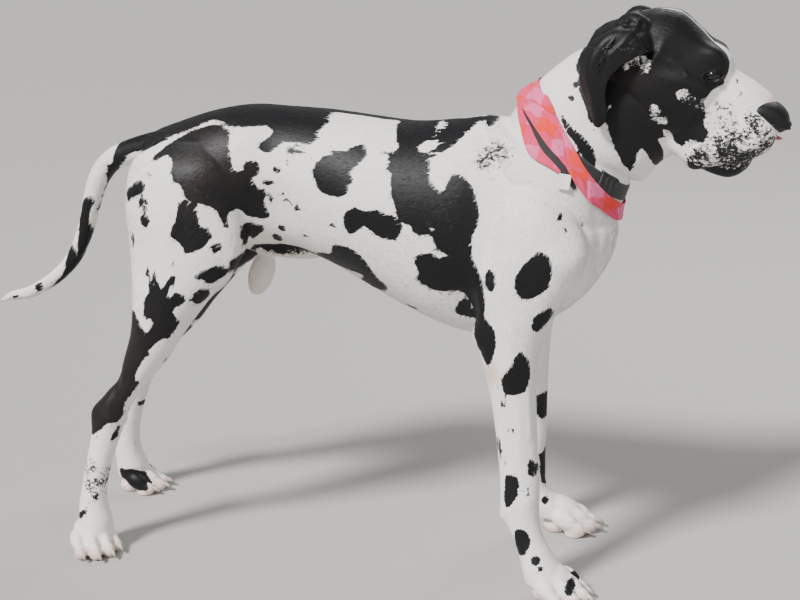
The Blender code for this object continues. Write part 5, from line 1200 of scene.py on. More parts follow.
def blades(name, blade, mark, root, uv, normal, rng):
    """One mesh of all blades, with their marks, roots and OFBake patches, shaded nearly as the skin under them."""
    number = len(blade)
    faces = (np.array(BLADE)[None] + 7 * np.arange(number)[:, None, None]).reshape(-1)
    mesh = bpy.data.meshes.new(name)
    mesh.vertices.add(7 * number)
    mesh.vertices.foreach_set("co", (blade.reshape(-1, 3) - SHIFT).ravel())
    mesh.loops.add(len(faces))
    mesh.loops.foreach_set("vertex_index", faces)
    mesh.polygons.add(len(faces) // 3)
    mesh.polygons.foreach_set("loop_start", np.arange(0, len(faces), 3))
    mesh.update(calc_edges=True)
    mesh.polygons.foreach_set("use_smooth", np.ones(len(faces) // 3, bool))
    leaning = normal + rng.normal(0, 0.13, (number, 3))
    mesh.normals_split_custom_set_from_vertices(np.repeat(leaning, 7, 0).tolist())
    obj = bpy.data.objects.new(name, mesh)
    bpy.context.scene.collection.objects.link(obj)
    shade = mark.copy()
    shade[:, 0] += rng.normal(0, 0.012, number)
    add_marks(obj, np.repeat(np.clip(shade, 0, 1), 7, 0), np.repeat(root, 7, 0))
    # a patch 0.003 across: the blade's own outline, laid flat round the root's place
    patch = np.array([(-0.5, -0.5), (0.5, -0.5), (0.0, -0.5), (-0.4, 0.0), (0.4, 0.0), (0.0, 0.0), (0.0, 0.5)]) * 0.003
    flat = (np.clip(uv, 0.002, 0.998)[:, None] + patch[None]).reshape(-1, 2)
    layer = mesh.uv_layers.new(name="OFBake")
    layer.data.foreach_set("uv", flat[faces].ravel())
    return obj


def under_cloth(points):
    """Which points the neckerchief or the collar hides."""
    scarf = np.abs((points - SCARF_MIDDLE) @ np.array([0.770, 0, 0.638]))
    strap = np.abs((points - COLLAR_MIDDLE) @ np.array([0.663, 0, 0.749]))
    down = (points - SCARF_MIDDLE) @ np.array([0.638, 0, -0.770])
    width = np.interp(down, [-0.11, 0.0, 0.11], [0.028, 0.020, 0.010])
    near = np.linalg.norm(points - SCARF_MIDDLE, axis=1) < 0.18
    return near & ((scarf < width) | (strap < 0.012))


def unwrapped(obj):
    """Lays the skin's own shape flat in a UV map named OFBake."""
    obj.data.uv_layers.new(name="OFBake")
    bpy.ops.object.select_all(action="DESELECT")
    obj.select_set(True)
    bpy.context.view_layer.objects.active = obj
    bpy.ops.object.mode_set(mode="EDIT")
    bpy.ops.mesh.select_all(action="SELECT")
    bpy.ops.uv.smart_project(angle_limit=1.15, island_margin=0.002)
    bpy.ops.object.mode_set(mode="OBJECT")


NOSE = [
    (0.246, 0, 0.058, 0.020, 0.010, 0.010, 1.0, 1.0), (0.254, 0, 0.059, 0.0330, 0.0140, 0.0130, 0.95, 1.0),
    (0.264, 0, 0.060, 0.0362, 0.0190, 0.0170, 0.85, 1.0), (0.278, 0, 0.060, 0.0345, 0.0228, 0.0195, 0.8, 1.0),
    (0.292, 0, 0.059, 0.0312, 0.0222, 0.0200, 0.8, 1.0), (0.303, 0, 0.058, 0.0265, 0.0185, 0.0190, 0.85, 1.0),
    (0.3105, 0, 0.057, 0.0200, 0.0128, 0.0150, 0.9, 1.0), (0.3140, 0, 0.0565, 0.0110, 0.0066, 0.0080, 1.0, 1.0),
    (0.3150, 0, 0.0560, 0.0010, 0.0008, 0.0008, 1.0, 1.0),
]


def nose_leather():
    """The nose's loft, moved along its normals: in at the comma-shaped nostrils and the groove, out at their wings."""
    rings, segments = 170, 180
    local = loft_points(NOSE, rings, segments, UPWARD)
    obj = piece_of("nose_leather", head_to_body(local), tube_faces(rings, segments))
    same = np.stack([local[:, 0], -np.abs(local[:, 1]), local[:, 2]], 1)
    slit = np.array([(0.3120, -0.0150, 0.0565), (0.3040, -0.0220, 0.0530), (0.2920, -0.0285, 0.0515)])
    wing = np.array([(0.3150, -0.0060, 0.0640), (0.3080, -0.0160, 0.0680), (0.2960, -0.0240, 0.0640)])
    groove = np.array([(0.3160, 0, 0.0610), (0.3140, 0, 0.0500), (0.3060, 0, 0.0400)])
    move = -0.0060 * np.clip(1.2 * bell(same, (0.3105, -0.0125, 0.0575), (0.0070, 0.0052, 0.0060)), 0, 1)
    move -= 0.0038 * stroke(same, slit, 0.0022)
    move += 0.0010 * stroke(same, wing, 0.0040) - 0.0014 * stroke(same, groove, 0.0014)
    set_positions(obj, positions(obj) + normals(obj) * move[:, None])
    return obj


def tongue():
    """The tip of the tongue: a flattened ellipsoid with a shallow groove along its middle."""
    points, faces = ellipsoid_points((0, 0, 0), (1, 1, 1), rings=48, segments=64)
    x, y, z = points.T
    z = z - 0.35 * np.exp(-((y / 0.18) ** 2)) * (z > 0)
    local = np.stack([x * 0.0225, y * 0.0150, z * 0.0042], 1) @ turned((0, -0.30, 0)).T + (0.296, 0, 0.0262)
    return piece_of("tongue_tip", head_to_body(local), faces)


def claws():
    """All sixteen claws: rings whose width and height taper as (1 - s)^0.8 along a downward curve."""
    rings, segments, points, faces = 26, 20, [], []
    stations = [(0, 0, 0.0044, 0.0054), (0.006, -0.0004, 0.0040, 0.0049), (0.012, -0.002, 0.0034, 0.0040),
                (0.016, -0.0045, 0.0026, 0.0031), (0.0185, -0.0068, 0.0017, 0.0020)]
    along, drop, width, height = spline(stations, rings).T[..., None]
    angle = np.linspace(0, 2 * math.pi, segments, endpoint=False)
    ring = np.stack([
        along + 0 * angle, width * np.cos(angle) * (1 - 0.15 * np.sin(angle)), drop + height * np.sin(angle)], -1)
    local = np.vstack([ring.reshape(-1, 3), ring[0].mean(0), ring[-1].mean(0) + (0.0009, 0, -0.0010)])
    for name in PAWS:
        place = paw_to_body(name)
        for ahead, outwards, splay in TOES.values():
            spin = turned((0, 0, math.radians(splay)))
            faces += [[i + len(local) * len(points) for i in face] for face in tube_faces(rings, segments)]
            points.append(place(local @ spin.T + (ahead + 0.050, outwards * 1.09, 0.0175)))
    obj = piece_of("claws", np.vstack(points), faces)
    base = np.append(np.repeat(np.linspace(0, 1, rings), segments), [0, 1])
    held = obj.data.attributes.new("along", "FLOAT", "POINT")
    held.data.foreach_set("value", np.tile(base, 16))
    return obj


COLLAR_MIDDLE, COLLAR_DOWN = (0.440, 0, 0.797), (0.749, 0, -0.663)
SCARF_MIDDLE, SCARF_DOWN = (0.437, 0, 0.793), (0.638, 0, -0.770)
COLLAR_HALF, COLLAR_THICKNESS = (0.0125, 0.0125, 0.0125), 0.0025
SCARF_HALF, SCARF_THICKNESS = (0.012, 0.022, 0.031), 0.0060
SCARF_END_ARC = (3.25, 4.95)
SCARF_END_EDGES = np.array([
    (3.25, 17, 23), (3.44, 17, 27), (3.69, 18.5, 34), (4.00, 19, 41), (4.15, 21.5, 44), (4.37, 24, 46), (4.53, 23.6, 41),
    (4.74, 20, 31), (4.95, 18, 23),
])
BUCKLE_HALF, BUCKLE_THICKNESS, BUCKLE_ARC = (0.0160, 0.0160, 0.0160), 0.0030, (5.55, 5.92)
LABEL_MIDDLE, LABEL_SIZE, LABEL_TURN = (0.444, 0.746), (0.022, 0.0016, 0.026), (-16, 8, 6)
LABEL_LIFT = 0.0060


def ring_points(skin, middle, down, angles, across):
    """Where rays from a ring's middle, at the given angles and shifts along the neck, leave the skin, and their ways."""
    down, sidewise = Vector(down).normalized(), Vector(SIDE)
    along = down.cross(sidewise) * -1
    met, outward = [], []
    for angle, shift in zip(angles, across):
        way = down * math.cos(angle) + sidewise * math.sin(angle)
        origin = Vector(middle) + along * shift
        hit = skin.ray_cast(origin + way * 0.4, -way)[0]
        met.append(hit)
        outward.append(way)
    return np.array(met), np.array(outward)


def band(name, skin, middle, down, half, lift, rows, columns, arc=None, edges=None):
    """A two-sided band round the neck. lift(a, v) gives the inner and outer height over the skin at turn a, v from -1 to 1.
    Its edges lie half a width each side of the ring, or where edges(a) puts them along the neck.

    Returns the object. Its attribute weave holds the distances along and across the band in metres.
    """
    start, end = arc if arc else (0.0, 2 * math.pi)
    angles = np.linspace(start, end, rows, endpoint=arc is not None)
    around = 0.5 - 0.5 * np.cos(angles)
    width = np.interp(around, [0, 0.5, 1], half)
    front, rear = edges(angles) if edges else (-width, width)
    across = np.linspace(-1, 1, columns)
    a, v = np.meshgrid(angles, across, indexing="ij")
    shift = (front + rear)[:, None] / 2 + v * (rear - front)[:, None] / 2
    met, outward = ring_points(skin, middle, down, a.ravel(), shift.ravel())
    low, high = lift(a, v)
    inner = met + outward * low.reshape(-1, 1)
    outer = met + outward * high.reshape(-1, 1)
    back, ring = rows * columns, arc is None
    quads = grid_faces(rows, columns, closed=ring)
    faces = quads.tolist() + (quads[:, ::-1] + back).tolist()
    r = np.arange(rows if ring else rows - 1)
    n = (r + 1) % rows
    for c, flip in ((0, False), (columns - 1, True)):
        rim = np.stack([r * columns + c, n * columns + c, n * columns + c + back, r * columns + c + back], 1)
        faces += (rim[:, ::-1] if flip else rim).tolist()
    if not ring:
        c = np.arange(columns - 1)
        for row, flip in ((0, True), (rows - 1, False)):
            rim = row * columns + np.stack([c, c + 1, c + 1 + back, c + back], 1)
            faces += (rim[:, ::-1] if flip else rim).tolist()
    obj = piece_of(name, np.vstack([outer, inner]), faces)
    grid = outer.reshape(rows, columns, 3)
    step = np.linalg.norm(np.diff(grid, axis=0), axis=2).mean(1)
    run = np.append(0, np.cumsum(step))[:rows]
    weave = np.stack([np.repeat(run, columns), shift.ravel(), np.zeros(back)], 1)
    held = obj.data.attributes.new("weave", "FLOAT_VECTOR", "POINT")
    held.data.foreach_set("vector", np.vstack([weave, weave]).ravel())
    return obj


def collar(skin):
    def lift(a, v):
        edge = 0.0006 * np.abs(v) ** 10
        return 0 * a - 0.0003, 0 * a + COLLAR_THICKNESS - edge

    return band("collar_strap", skin, COLLAR_MIDDLE, COLLAR_DOWN, COLLAR_HALF, lift, 360, 15)


def buckle(skin):
    """A slider: a plate with two slots, through which the strap shows in raised loops."""
    def lift(a, v):
        share = (a - BUCKLE_ARC[0]) / (BUCKLE_ARC[1] - BUCKLE_ARC[0])
        bars = np.exp(-(((share[..., None] - (0.06, 0.36, 0.64, 0.94)) / 0.06) ** 2)).sum(-1)
        sides = smoothstep(0.74, 0.84, np.abs(v))
        round_edge = 1 - smoothstep(0.90, 1.0, np.abs(v)) * 0.5
        height = COLLAR_THICKNESS + 0.0004 + BUCKLE_THICKNESS * np.maximum(np.clip(bars, 0, 1), sides) * round_edge
        return 0 * a, height

    return band("buckle_slider", skin, COLLAR_MIDDLE, COLLAR_DOWN, BUCKLE_HALF, lift, 110, 60, BUCKLE_ARC)


# The neckerchief's edges: turn, then how far the front and the rear edge lie along the neck, in millimetres.
SCARF_EDGES = np.array([
    (0.00, -11, 12), (0.60, -11, 13), (1.00, -15, 16), (1.57, -22, 22), (2.40, -27, 27), (3.14, -29, 24), (3.44, -28, 19),
    (3.60, -28, 16), (3.70, -34, 14), (3.89, -33, 12.5), (4.04, -30, 12), (4.32, -26, 11.5), (4.60, -24, 9.5),
    (4.77, -22, 7), (4.93, -20, 6), (5.09, -17, 9), (5.26, -15, 12.5), (5.50, -13, 15), (5.75, -11, 14), (6.2832, -11, 12),
])
PLEATS = ((-0.45, 0.0030), (0.30, 0.0026))
CREASES = ((5.50, -0.12, 0.0016), (2.75, -0.22, 0.0024), (1.35, 0.20, 0.0020), (0.6, 0.15, 0.0014))
# A turned-over layer ends on this line near the nape, and an under layer shows in front of the other: turn, millimetres.
TURNED = np.array([(-34, 4.12), (-27, 4.05), (-18, 3.84), (-5, 3.64), (18, 3.42), (30, 3.34)])
UNDER = np.array([(4.30, -26), (4.61, -12), (4.76, -4.3), (4.95, 2.5), (5.14, -3.3), (5.25, -17)])


def scarf_edges(a):
    """The front and the rear edge of the neckerchief at turn a, smoothed over its stations."""
    return tuple(np.interp(a, SCARF_EDGES[:, 0], SCARF_EDGES[:, i]) / 1000 for i in (1, 2))


def wandering(a):
    """How far the pleats wander across the cloth at turn a."""
    return 0.20 * np.sin(2 * a + 0.6) + 0.10 * np.sin(5 * a + 1.9)


def layers(a, v):
    """Where the layers of the folded cloth lie: on the turned-over part, on the under layer, and past each pleat."""
    front, rear = scarf_edges(a)
    place = 1000 * ((front + rear) / 2 + v * (rear - front) / 2)
    before = np.interp(place, TURNED[:, 0], TURNED[:, 1]) - a
    turned_over = smoothstep(-0.015, 0.015, before) * smoothstep(0.75, 0.35, before)
    under = smoothstep(0.6, -0.6, place - np.interp(a, UNDER[:, 0], UNDER[:, 1])) * (a > UNDER[0, 0]) * (a < UNDER[-1, 0])
    past = [smoothstep(-0.05, 0.05, v - middle - wandering(a)) for middle, _ in PLEATS]
    return turned_over, under, past


def fold_height(a, v):
    """Lift of the folded cloth: overlapped pleats that wander round the neck, layers, slanting creases, rolled edges.

    A pleat is a step, smooth across 0.1 of the half width. A crease is a groove exp(-(d / 0.035)^2) beside a ridge
    exp(-((d - 0.07) / 0.05)^2), d being a - start - slope (1 - v).
    """
    height = 0.0050 + 0.0008 * np.sin(9 * a + 4 * v) * np.sin(3 * a + 2.2) + 0.0005 * np.sin(17 * a - 6 * v + 1.0)
    turned_over, under, past = layers(a, v)
    for share, (_, step) in zip(past, PLEATS):
        height = height + step * (share - 0.5)
    height = height + 0.0034 * turned_over - 0.0024 * under
    for start, slope, depth in CREASES:
        away = a - start - slope * (1 - v)
        height = height + depth * (0.6 * np.exp(-(((away - 0.07) / 0.05) ** 2)) - np.exp(-((away / 0.035) ** 2)))
    # at the throat the front edge lies over the strap instead of rolling under
    over = smoothstep(0.50, 0.72, 0.5 + 0.5 * np.cos(a))
    height = height - 0.0024 * (1 - over) * np.clip(-v, 0, 1) ** 8
    return np.maximum(height, 0.0026 + 0.0020 * over) + 0.0008 * over


def neckerchief(skin):
    def lift(a, v):
        high = fold_height(a, v) + 0.0010
        return high - 0.0009, high

    obj = band("neckerchief_cloth", skin, SCARF_MIDDLE, SCARF_DOWN, SCARF_HALF, lift, 560, 51, None, scarf_edges)
    # the print jumps where a fold hides part of the cloth
    a, v = np.meshgrid(np.linspace(0, 2 * math.pi, 560, endpoint=False), np.linspace(-1, 1, 51), indexing="ij")
    turned_over, under, past = layers(a, v)
    hidden = (sum(past) * 0.6 + 2.1 * (turned_over > 0.5) + 1.6 * (under > 0.5)).ravel()
    weave = np.empty(len(obj.data.vertices) * 3)
    obj.data.attributes["weave"].data.foreach_get("vector", weave)
    weave = weave.reshape(-1, 3) + np.tile(hidden, 2)[:, None] * (0.012, 0.008, 0)
    obj.data.attributes["weave"].data.foreach_set("vector", weave.ravel())
    return obj


GAP = np.array([(3.50, 16.0, 1.5), (3.80, 16.0, 4.0), (4.12, 17.5, 8.0), (4.35, 18.0, 8.5), (4.55, 17.0, 9.0),
                (4.77, 14.0, 9.0), (4.95, 12.0, 8.0), (5.11, 15.0, 6.0), (5.30, 19.0, 3.0)])


def strap_in_gap(skin):
    """The collar strap's part that shows between the two layers of the neckerchief, along GAP: turn, place, half width."""
    def edges(a):
        place, half = (np.interp(a, GAP[:, 0], GAP[:, i]) / 1000 for i in (1, 2))
        return place - half, place + half

    def lift(a, v):
        return 0 * a + 0.0002, 0 * a + 0.0031 - 0.0005 * np.abs(v) ** 10

    arc = (GAP[0, 0], GAP[-1, 0])
    obj = band("collar_strap_in_gap", skin, SCARF_MIDDLE, SCARF_DOWN, SCARF_HALF, lift, 160, 15, arc, edges)
    weave = np.empty(len(obj.data.vertices) * 3)
    held = obj.data.attributes["weave"].data
    held.foreach_get("vector", weave)
    weave = weave.reshape(-1, 3)
    weave[:, 1] = np.tile(np.linspace(-0.0085, 0.0085, 15), 320)  # from the strap's own middle line
    held.foreach_set("vector", weave.ravel())
    return obj


def neckerchief_end(skin):
    def lift(a, v):
        share = (a - SCARF_END_ARC[0]) / (SCARF_END_ARC[1] - SCARF_END_ARC[0])
        high = 0.0050 + 0.0009 * np.sin(3 * math.pi * share + 1.5 * v) + 0.0014 * smoothstep(0.3, 1.0, share) * v
        high = high + 0.0011 * smoothstep(0.72, 0.80, v) - 0.0006 * smoothstep(0.92, 1.0, v)
        return high - 0.0009, high

    def edges(a):
        return tuple(np.interp(a, SCARF_END_EDGES[:, 0], SCARF_END_EDGES[:, i]) / 1000 for i in (1, 2))

    return band("neckerchief_flap", skin, SCARF_MIDDLE, SCARF_DOWN, SCARF_HALF, lift, 200, 31, SCARF_END_ARC, edges)


def label(skin):
    """A bare tape label: a thin plate with rounded corners, slightly curled: z += 0.9 u^2 mm."""
    x, z = LABEL_MIDDLE
    met = np.array(skin.ray_cast(Vector((x, -1, z)), Vector(SIDE))[0])
    rows, columns = 28, 24
    u, v = np.meshgrid(np.linspace(-1, 1, columns), np.linspace(-1, 1, rows))
    corner = 1 - 0.06 * (np.abs(u) ** 8 * np.abs(v) ** 8)
    curl = 0.0009 * u**2 + 0.0005 * np.sin(2.5 * v)
    front = np.stack([u * corner * LABEL_SIZE[0] / 2, -curl - 0.0005, v * corner * LABEL_SIZE[2] / 2], -1).reshape(-1, 3)
    back = front + (0, 0.0009, 0)
    quads = grid_faces(rows, columns)
    rim = np.concatenate([
        np.arange(columns), np.arange(1, rows) * columns + columns - 1,
        (rows - 1) * columns + np.arange(columns - 2, -1, -1), np.arange(rows - 2, 0, -1) * columns,
    ])
    after, size = np.roll(rim, -1), rows * columns
    faces = quads.tolist() + (quads[:, ::-1] + size).tolist()
    faces += np.stack([after, rim, rim + size, after + size], 1).tolist()
    points = np.vstack([front, back]) @ turned([math.radians(t) for t in LABEL_TURN]).T
    obj = piece_of("tape_label", points + met + (x - met[0], -LABEL_LIFT, z - met[2]), faces)
    weave = np.stack([u * LABEL_SIZE[0] / 2, v * LABEL_SIZE[2] / 2, 0 * u], -1).reshape(-1, 3)
    held = obj.data.attributes.new("weave", "FLOAT_VECTOR", "POINT")
    held.data.foreach_set("vector", np.vstack([weave, weave]).ravel())
    return obj


def noted(kind):
    """The vector that a piece's own attribute holds."""
    def read(tree):
        return add(tree, "ShaderNodeAttribute", attribute_name=kind).outputs["Vector"]

    return read


def nose_material():
    """Moist black nose leather: a pebbled grain of small cells with painted shade in the grooves between them, under a
    wet gloss.
    """
    made, tree, shader = new_material("nose_leather_moist")
    place = add(tree, "ShaderNodeTexCoord").outputs["Object"]
    cells = add(tree, "ShaderNodeTexVoronoi", {"Vector": place, "Scale": 620.0}, feature="DISTANCE_TO_EDGE").outputs[0]
    pebble = ramp(tree, cells, 0.0, 0.28)
    shade = blend(tree, grain(tree, place, 0.004), linear("#0d0d0f"), linear("#1e1c1e"))
    # the grooves between the cells are painted near black: painted shade
    colour = blend(tree, pebble, linear("#060607"), shade)
    tree.links.new(colour, shader.inputs["Base Color"])
    tree.links.new(ramp(tree, grain(tree, place, 0.0016), 0.3, 0.7, 0.36, 0.56), shader.inputs["Roughness"])
    bump = add(tree, "ShaderNodeBump", {"Height": pebble, "Strength": 0.5, "Distance": 0.0004})
    tree.links.new(bump.outputs[0], shader.inputs["Normal"])
    shader.inputs["Specular IOR Level"].default_value = 0.28
    shader.inputs["Coat Weight"].default_value = 0.10
    shader.inputs["Coat Roughness"].default_value = 0.20
    return made


def tongue_material():
    """Moist pink tongue with fine bumps."""
    made, tree, shader = new_material("tongue_moist")
    place = add(tree, "ShaderNodeTexCoord").outputs["Object"]
    cells = add(tree, "ShaderNodeTexVoronoi", {"Vector": place, "Scale": 1100.0}).outputs[0]
    tree.links.new(blend(tree, grain(tree, place, 0.004), linear("#c46a70"), linear("#a94b54")),
                   shader.inputs["Base Color"])
    bump = add(tree, "ShaderNodeBump", {"Height": cells, "Strength": 0.4, "Distance": 0.0003})
    tree.links.new(bump.outputs[0], shader.inputs["Normal"])
    shader.inputs["Roughness"].default_value = 0.32
    shader.inputs["Subsurface Weight"].default_value = 0.1
    shader.inputs["Subsurface Scale"].default_value = 0.002
    return made


def claw_material():
    """Pale claw horn: pinkish at the base, worn and greyer to the tip, with fine lengthwise lines."""
    made, tree, shader = new_material("claw_horn_pale")
    along = add(tree, "ShaderNodeAttribute", attribute_name="along").outputs["Fac"]
    place = add(tree, "ShaderNodeTexCoord").outputs["Object"]
    lines = grain(tree, place, 0.0006, 2.0, (8, 8, 1))
    colour = blend(tree, ramp(tree, along, 0.1, 0.9), linear("#cdbfae"), linear("#a09889"))
    colour = blend(tree, calc(tree, "MULTIPLY", lines, 0.3), colour, linear("#857a6c"))
    tree.links.new(colour, shader.inputs["Base Color"])
    bump = add(tree, "ShaderNodeBump", {"Height": lines, "Strength": 0.25, "Distance": 0.0002})
    tree.links.new(bump.outputs[0], shader.inputs["Normal"])
    shader.inputs["Roughness"].default_value = 0.38
    return made


def webbing_material():
    """Black nylon webbing: a twill of 1.2 mm ribs across its width, with painted highlight on the raised weave and
    painted shade in its hollows, slightly worn at the edges.
    """
    made, tree, shader = new_material("webbing_black_nylon")
    weave = noted("weave")(tree)
    u, v, _ = add(tree, "ShaderNodeSeparateXYZ", {0: weave}).outputs
    ribs = calc(tree, "SINE", calc(tree, "MULTIPLY", u, 2 * math.pi / 0.0012))
    cords = calc(tree, "SINE", calc(tree, "MULTIPLY", v, 2 * math.pi / 0.0009))
    twill = calc(tree, "MULTIPLY_ADD", calc(tree, "MULTIPLY", ribs, cords), 0.5, 0.5)
    fuzz = grain(tree, weave, 0.0005)
    # raised weave painted lighter and its hollows darker: painted highlight and painted shade
    colour = blend(tree, twill, linear("#0b0b0c"), linear("#2b2a2c"))
    worn = ramp(tree, calc(tree, "ABSOLUTE", v), 0.0095, 0.0125)
    colour = blend(tree, calc(tree, "MULTIPLY", worn, calc(tree, "MULTIPLY", fuzz, 0.6)), colour, linear("#5b5857"))
    tree.links.new(colour, shader.inputs["Base Color"])
    height = calc(tree, "ADD", twill, calc(tree, "MULTIPLY", fuzz, 0.4))
    bump = add(tree, "ShaderNodeBump", {"Height": height, "Strength": 0.7, "Distance": 0.0003})
    tree.links.new(bump.outputs[0], shader.inputs["Normal"])
    shader.inputs["Roughness"].default_value = 0.62
    shader.inputs["Sheen Weight"].default_value = 0.1
    return made


def plastic_material():
    """Moulded black plastic: fine satin texture with a few handling scuffs."""
    made, tree, shader = new_material("buckle_plastic_black")
    place = add(tree, "ShaderNodeTexCoord").outputs["Object"]
    fine = grain(tree, place, 0.0004)
    scuff = ramp(tree, grain(tree, place, 0.003, 4.0), 0.58, 0.70)
    colour = blend(tree, calc(tree, "MULTIPLY", scuff, 0.5), linear("#141415"), linear("#4a4849"))
    tree.links.new(colour, shader.inputs["Base Color"])
    tree.links.new(ramp(tree, scuff, 0, 1, 0.34, 0.55), shader.inputs["Roughness"])
    bump = add(tree, "ShaderNodeBump", {"Height": fine, "Strength": 0.2, "Distance": 0.0001})
    tree.links.new(bump.outputs[0], shader.inputs["Normal"])
    return made


def label_material():
    """White satin tape, left bare: a fine weave with a stitched line inside its edge."""
    made, tree, shader = new_material("label_white_tape")
    weave = noted("weave")(tree)
    u, v, _ = add(tree, "ShaderNodeSeparateXYZ", {0: weave}).outputs
    threads = calc(tree, "SINE", calc(tree, "MULTIPLY", v, 2 * math.pi / 0.0005))
    soil = ramp(tree, grain(tree, weave, 0.006, 3.0), 0.45, 0.75)
    colour = blend(tree, calc(tree, "MULTIPLY", soil, 0.5), linear("#e8e6e3"), linear("#bdb6ae"))
    edge = calc(tree, "ABSOLUTE", calc(tree, "SUBTRACT", calc(tree, "ABSOLUTE", v), 0.0112))
    dashes = calc(tree, "GREATER_THAN", calc(tree, "SINE", calc(tree, "MULTIPLY", u, 2 * math.pi / 0.0022)), -0.3)
    stitch = calc(tree, "MULTIPLY", ramp(tree, edge, 0.0002, 0.0005, 1.0, 0.0), dashes)
    colour = blend(tree, calc(tree, "MULTIPLY", stitch, 0.5), colour, linear("#8d8883"))
    tree.links.new(colour, shader.inputs["Base Color"])
    height = calc(tree, "ADD", calc(tree, "MULTIPLY", threads, 0.2), calc(tree, "MULTIPLY", stitch, 1.5))
    bump = add(tree, "ShaderNodeBump", {"Height": height, "Strength": 0.5, "Distance": 0.0002})
    tree.links.new(bump.outputs[0], shader.inputs["Normal"])
    shader.inputs["Roughness"].default_value = 0.55
    return made


def cloth_material(check, pale, middle, deep):
    """Printed cotton neckerchief: coral and pink checks with soft edges, a plain weave of 0.35 mm threads with painted
    shade between them, and wear.
    """
    made, tree, shader = new_material("neckerchief_cotton")
    weave = noted("weave")(tree)
    place = add(tree, "ShaderNodeTexCoord").outputs["Object"]
    u, v, _ = add(tree, "ShaderNodeSeparateXYZ", {0: weave}).outputs
    wobble = calc(tree, "MULTIPLY", calc(tree, "SUBTRACT", grain(tree, weave, 0.02), 0.5), 0.008)
    slant, level = calc(tree, "MULTIPLY", calc(tree, "ADD", u, v), 0.7071), calc(
        tree, "MULTIPLY", calc(tree, "SUBTRACT", u, v), 0.7071)
    slant, level = calc(tree, "ADD", slant, wobble), calc(tree, "ADD", level, wobble)

    def stripes(value, start):
        turn = calc(tree, "SINE", calc(tree, "MULTIPLY", calc(tree, "ADD", value, start), math.pi / check))
        return ramp(tree, turn, -0.12, 0.12)

    across, down = stripes(slant, 0.0), stripes(level, 0.0)
    both = calc(tree, "MULTIPLY", across, down)
    either = calc(tree, "MAXIMUM", across, down)
    colour = blend(tree, either, (*pale, 1), (*middle, 1))
    colour = blend(tree, both, colour, (*deep, 1))
    threads = calc(tree, "MULTIPLY", calc(tree, "SINE", calc(tree, "MULTIPLY", u, 2 * math.pi / 0.0007)),
                   calc(tree, "SINE", calc(tree, "MULTIPLY", v, 2 * math.pi / 0.0007)))
    # the low places of the weave are painted dark red: painted shade between the threads
    colour = blend(tree, ramp(tree, threads, -1, 1, 0.16, 0.0), colour, linear("#7c2b30"))
    faded = ramp(tree, grain(tree, place, 0.012, 4.0), 0.55, 0.80, 0.0, 0.15)
    colour = blend(tree, faded, colour, linear("#f0a8b8"))
    tree.links.new(colour, shader.inputs["Base Color"])
    height = calc(tree, "ADD", calc(tree, "MULTIPLY", threads, 0.5), grain(tree, place, 0.004, 3.0))
    bump = add(tree, "ShaderNodeBump", {"Height": height, "Strength": 0.5, "Distance": 0.0005})
    tree.links.new(bump.outputs[0], shader.inputs["Normal"])
    shader.inputs["Roughness"].default_value = 0.85
    shader.inputs["Sheen Weight"].default_value = 0.08
    return made


def floor_material(colour):
    """Plain pale floor."""
    made, tree, shader = new_material("pale_floor")
    shader.inputs["Base Color"].default_value = (*colour, 1)
    shader.inputs["Roughness"].default_value = 0.75
    return made


CAMERA_PLACE = np.array([0.9575, -3.0590, 1.397])  # in the dog's frame
CAMERA_AZIMUTH, CAMERA_PITCH, CAMERA_ROLL, FOCAL_PIXELS = 15.2, 16.0, 0.0094, 1800.0


def build_stage(floor_colour):
    """A wide pale floor, soft lights, and the camera at the photograph's angle."""
    rings, segments = 24, 96
    radius = 25.0 * np.linspace(0.002, 1, rings) ** 2
    angle = np.linspace(0, 2 * math.pi, segments, endpoint=False)
    points = np.stack([np.outer(radius, np.cos(angle)), np.outer(radius, np.sin(angle)), np.zeros((rings, segments))], -1)
    floor = piece_of("studio_floor", points.reshape(-1, 3) + SHIFT, grid_faces(rings, segments, ring=True))
    painted(floor, floor_material(floor_colour))

    world = bpy.data.worlds.new("soft_studio")
    world.use_nodes = True
    world.node_tree.nodes["Background"].inputs["Color"].default_value = linear("#e7e8ea")
    world.node_tree.nodes["Background"].inputs["Strength"].default_value = 0.50
    bpy.context.scene.world = world
    # one broad soft key from the camera's left, and two large fills: name, kind, place, strength, size
    lights = (("key", "SUN", (-1.3, -2.2, 3.0), 6.2, 0.20), ("fill", "AREA", (2.6, -2.4, 1.4), 18.0, 2.4),
              ("rim", "AREA", (0.8, 2.4, 2.8), 40.0, 1.4))
    for name, kind, place, strength, size in lights:
        light = bpy.data.lights.new(name, kind)
        light.energy = strength
        setattr(light, "angle" if kind == "SUN" else "size", size)
        lamp = bpy.data.objects.new(name, light)
        bpy.context.scene.collection.objects.link(lamp)
        lamp.location = place
        lamp.rotation_euler = (Vector(place) - Vector((0, 0, 0.5))).to_track_quat("Z", "Y").to_euler()

    camera = bpy.data.cameras.new("photo_camera")
    camera.sensor_width = 36.0
    camera.lens = 36.0 * FOCAL_PIXELS / 800
    camera.clip_end = 50
    held = bpy.data.objects.new("photo_camera", camera)
    bpy.context.scene.collection.objects.link(held)
    azimuth, pitch = math.radians(CAMERA_AZIMUTH), math.radians(CAMERA_PITCH)
    turn = Matrix.Rotation(azimuth, 4, "Z") @ Matrix.Rotation(math.pi / 2 - pitch, 4, "X") @ Matrix.Rotation(
        -CAMERA_ROLL, 4, "Z")
    held.matrix_world = Matrix.Translation(Vector(CAMERA_PLACE - SHIFT)) @ turn
    bpy.context.scene.camera = held


def made_of(frame, words):
    """The frame's nodes whose names start with one of the words."""
    return [node for node in frame["nodes"] if node.startswith(words)]


def colour_setting(name, description, colour):
    return bpy.props.FloatVectorProperty(
        name=name, description=description, default=linear(colour)[:3], min=0.0, max=1.0, size=3, subtype="COLOR")


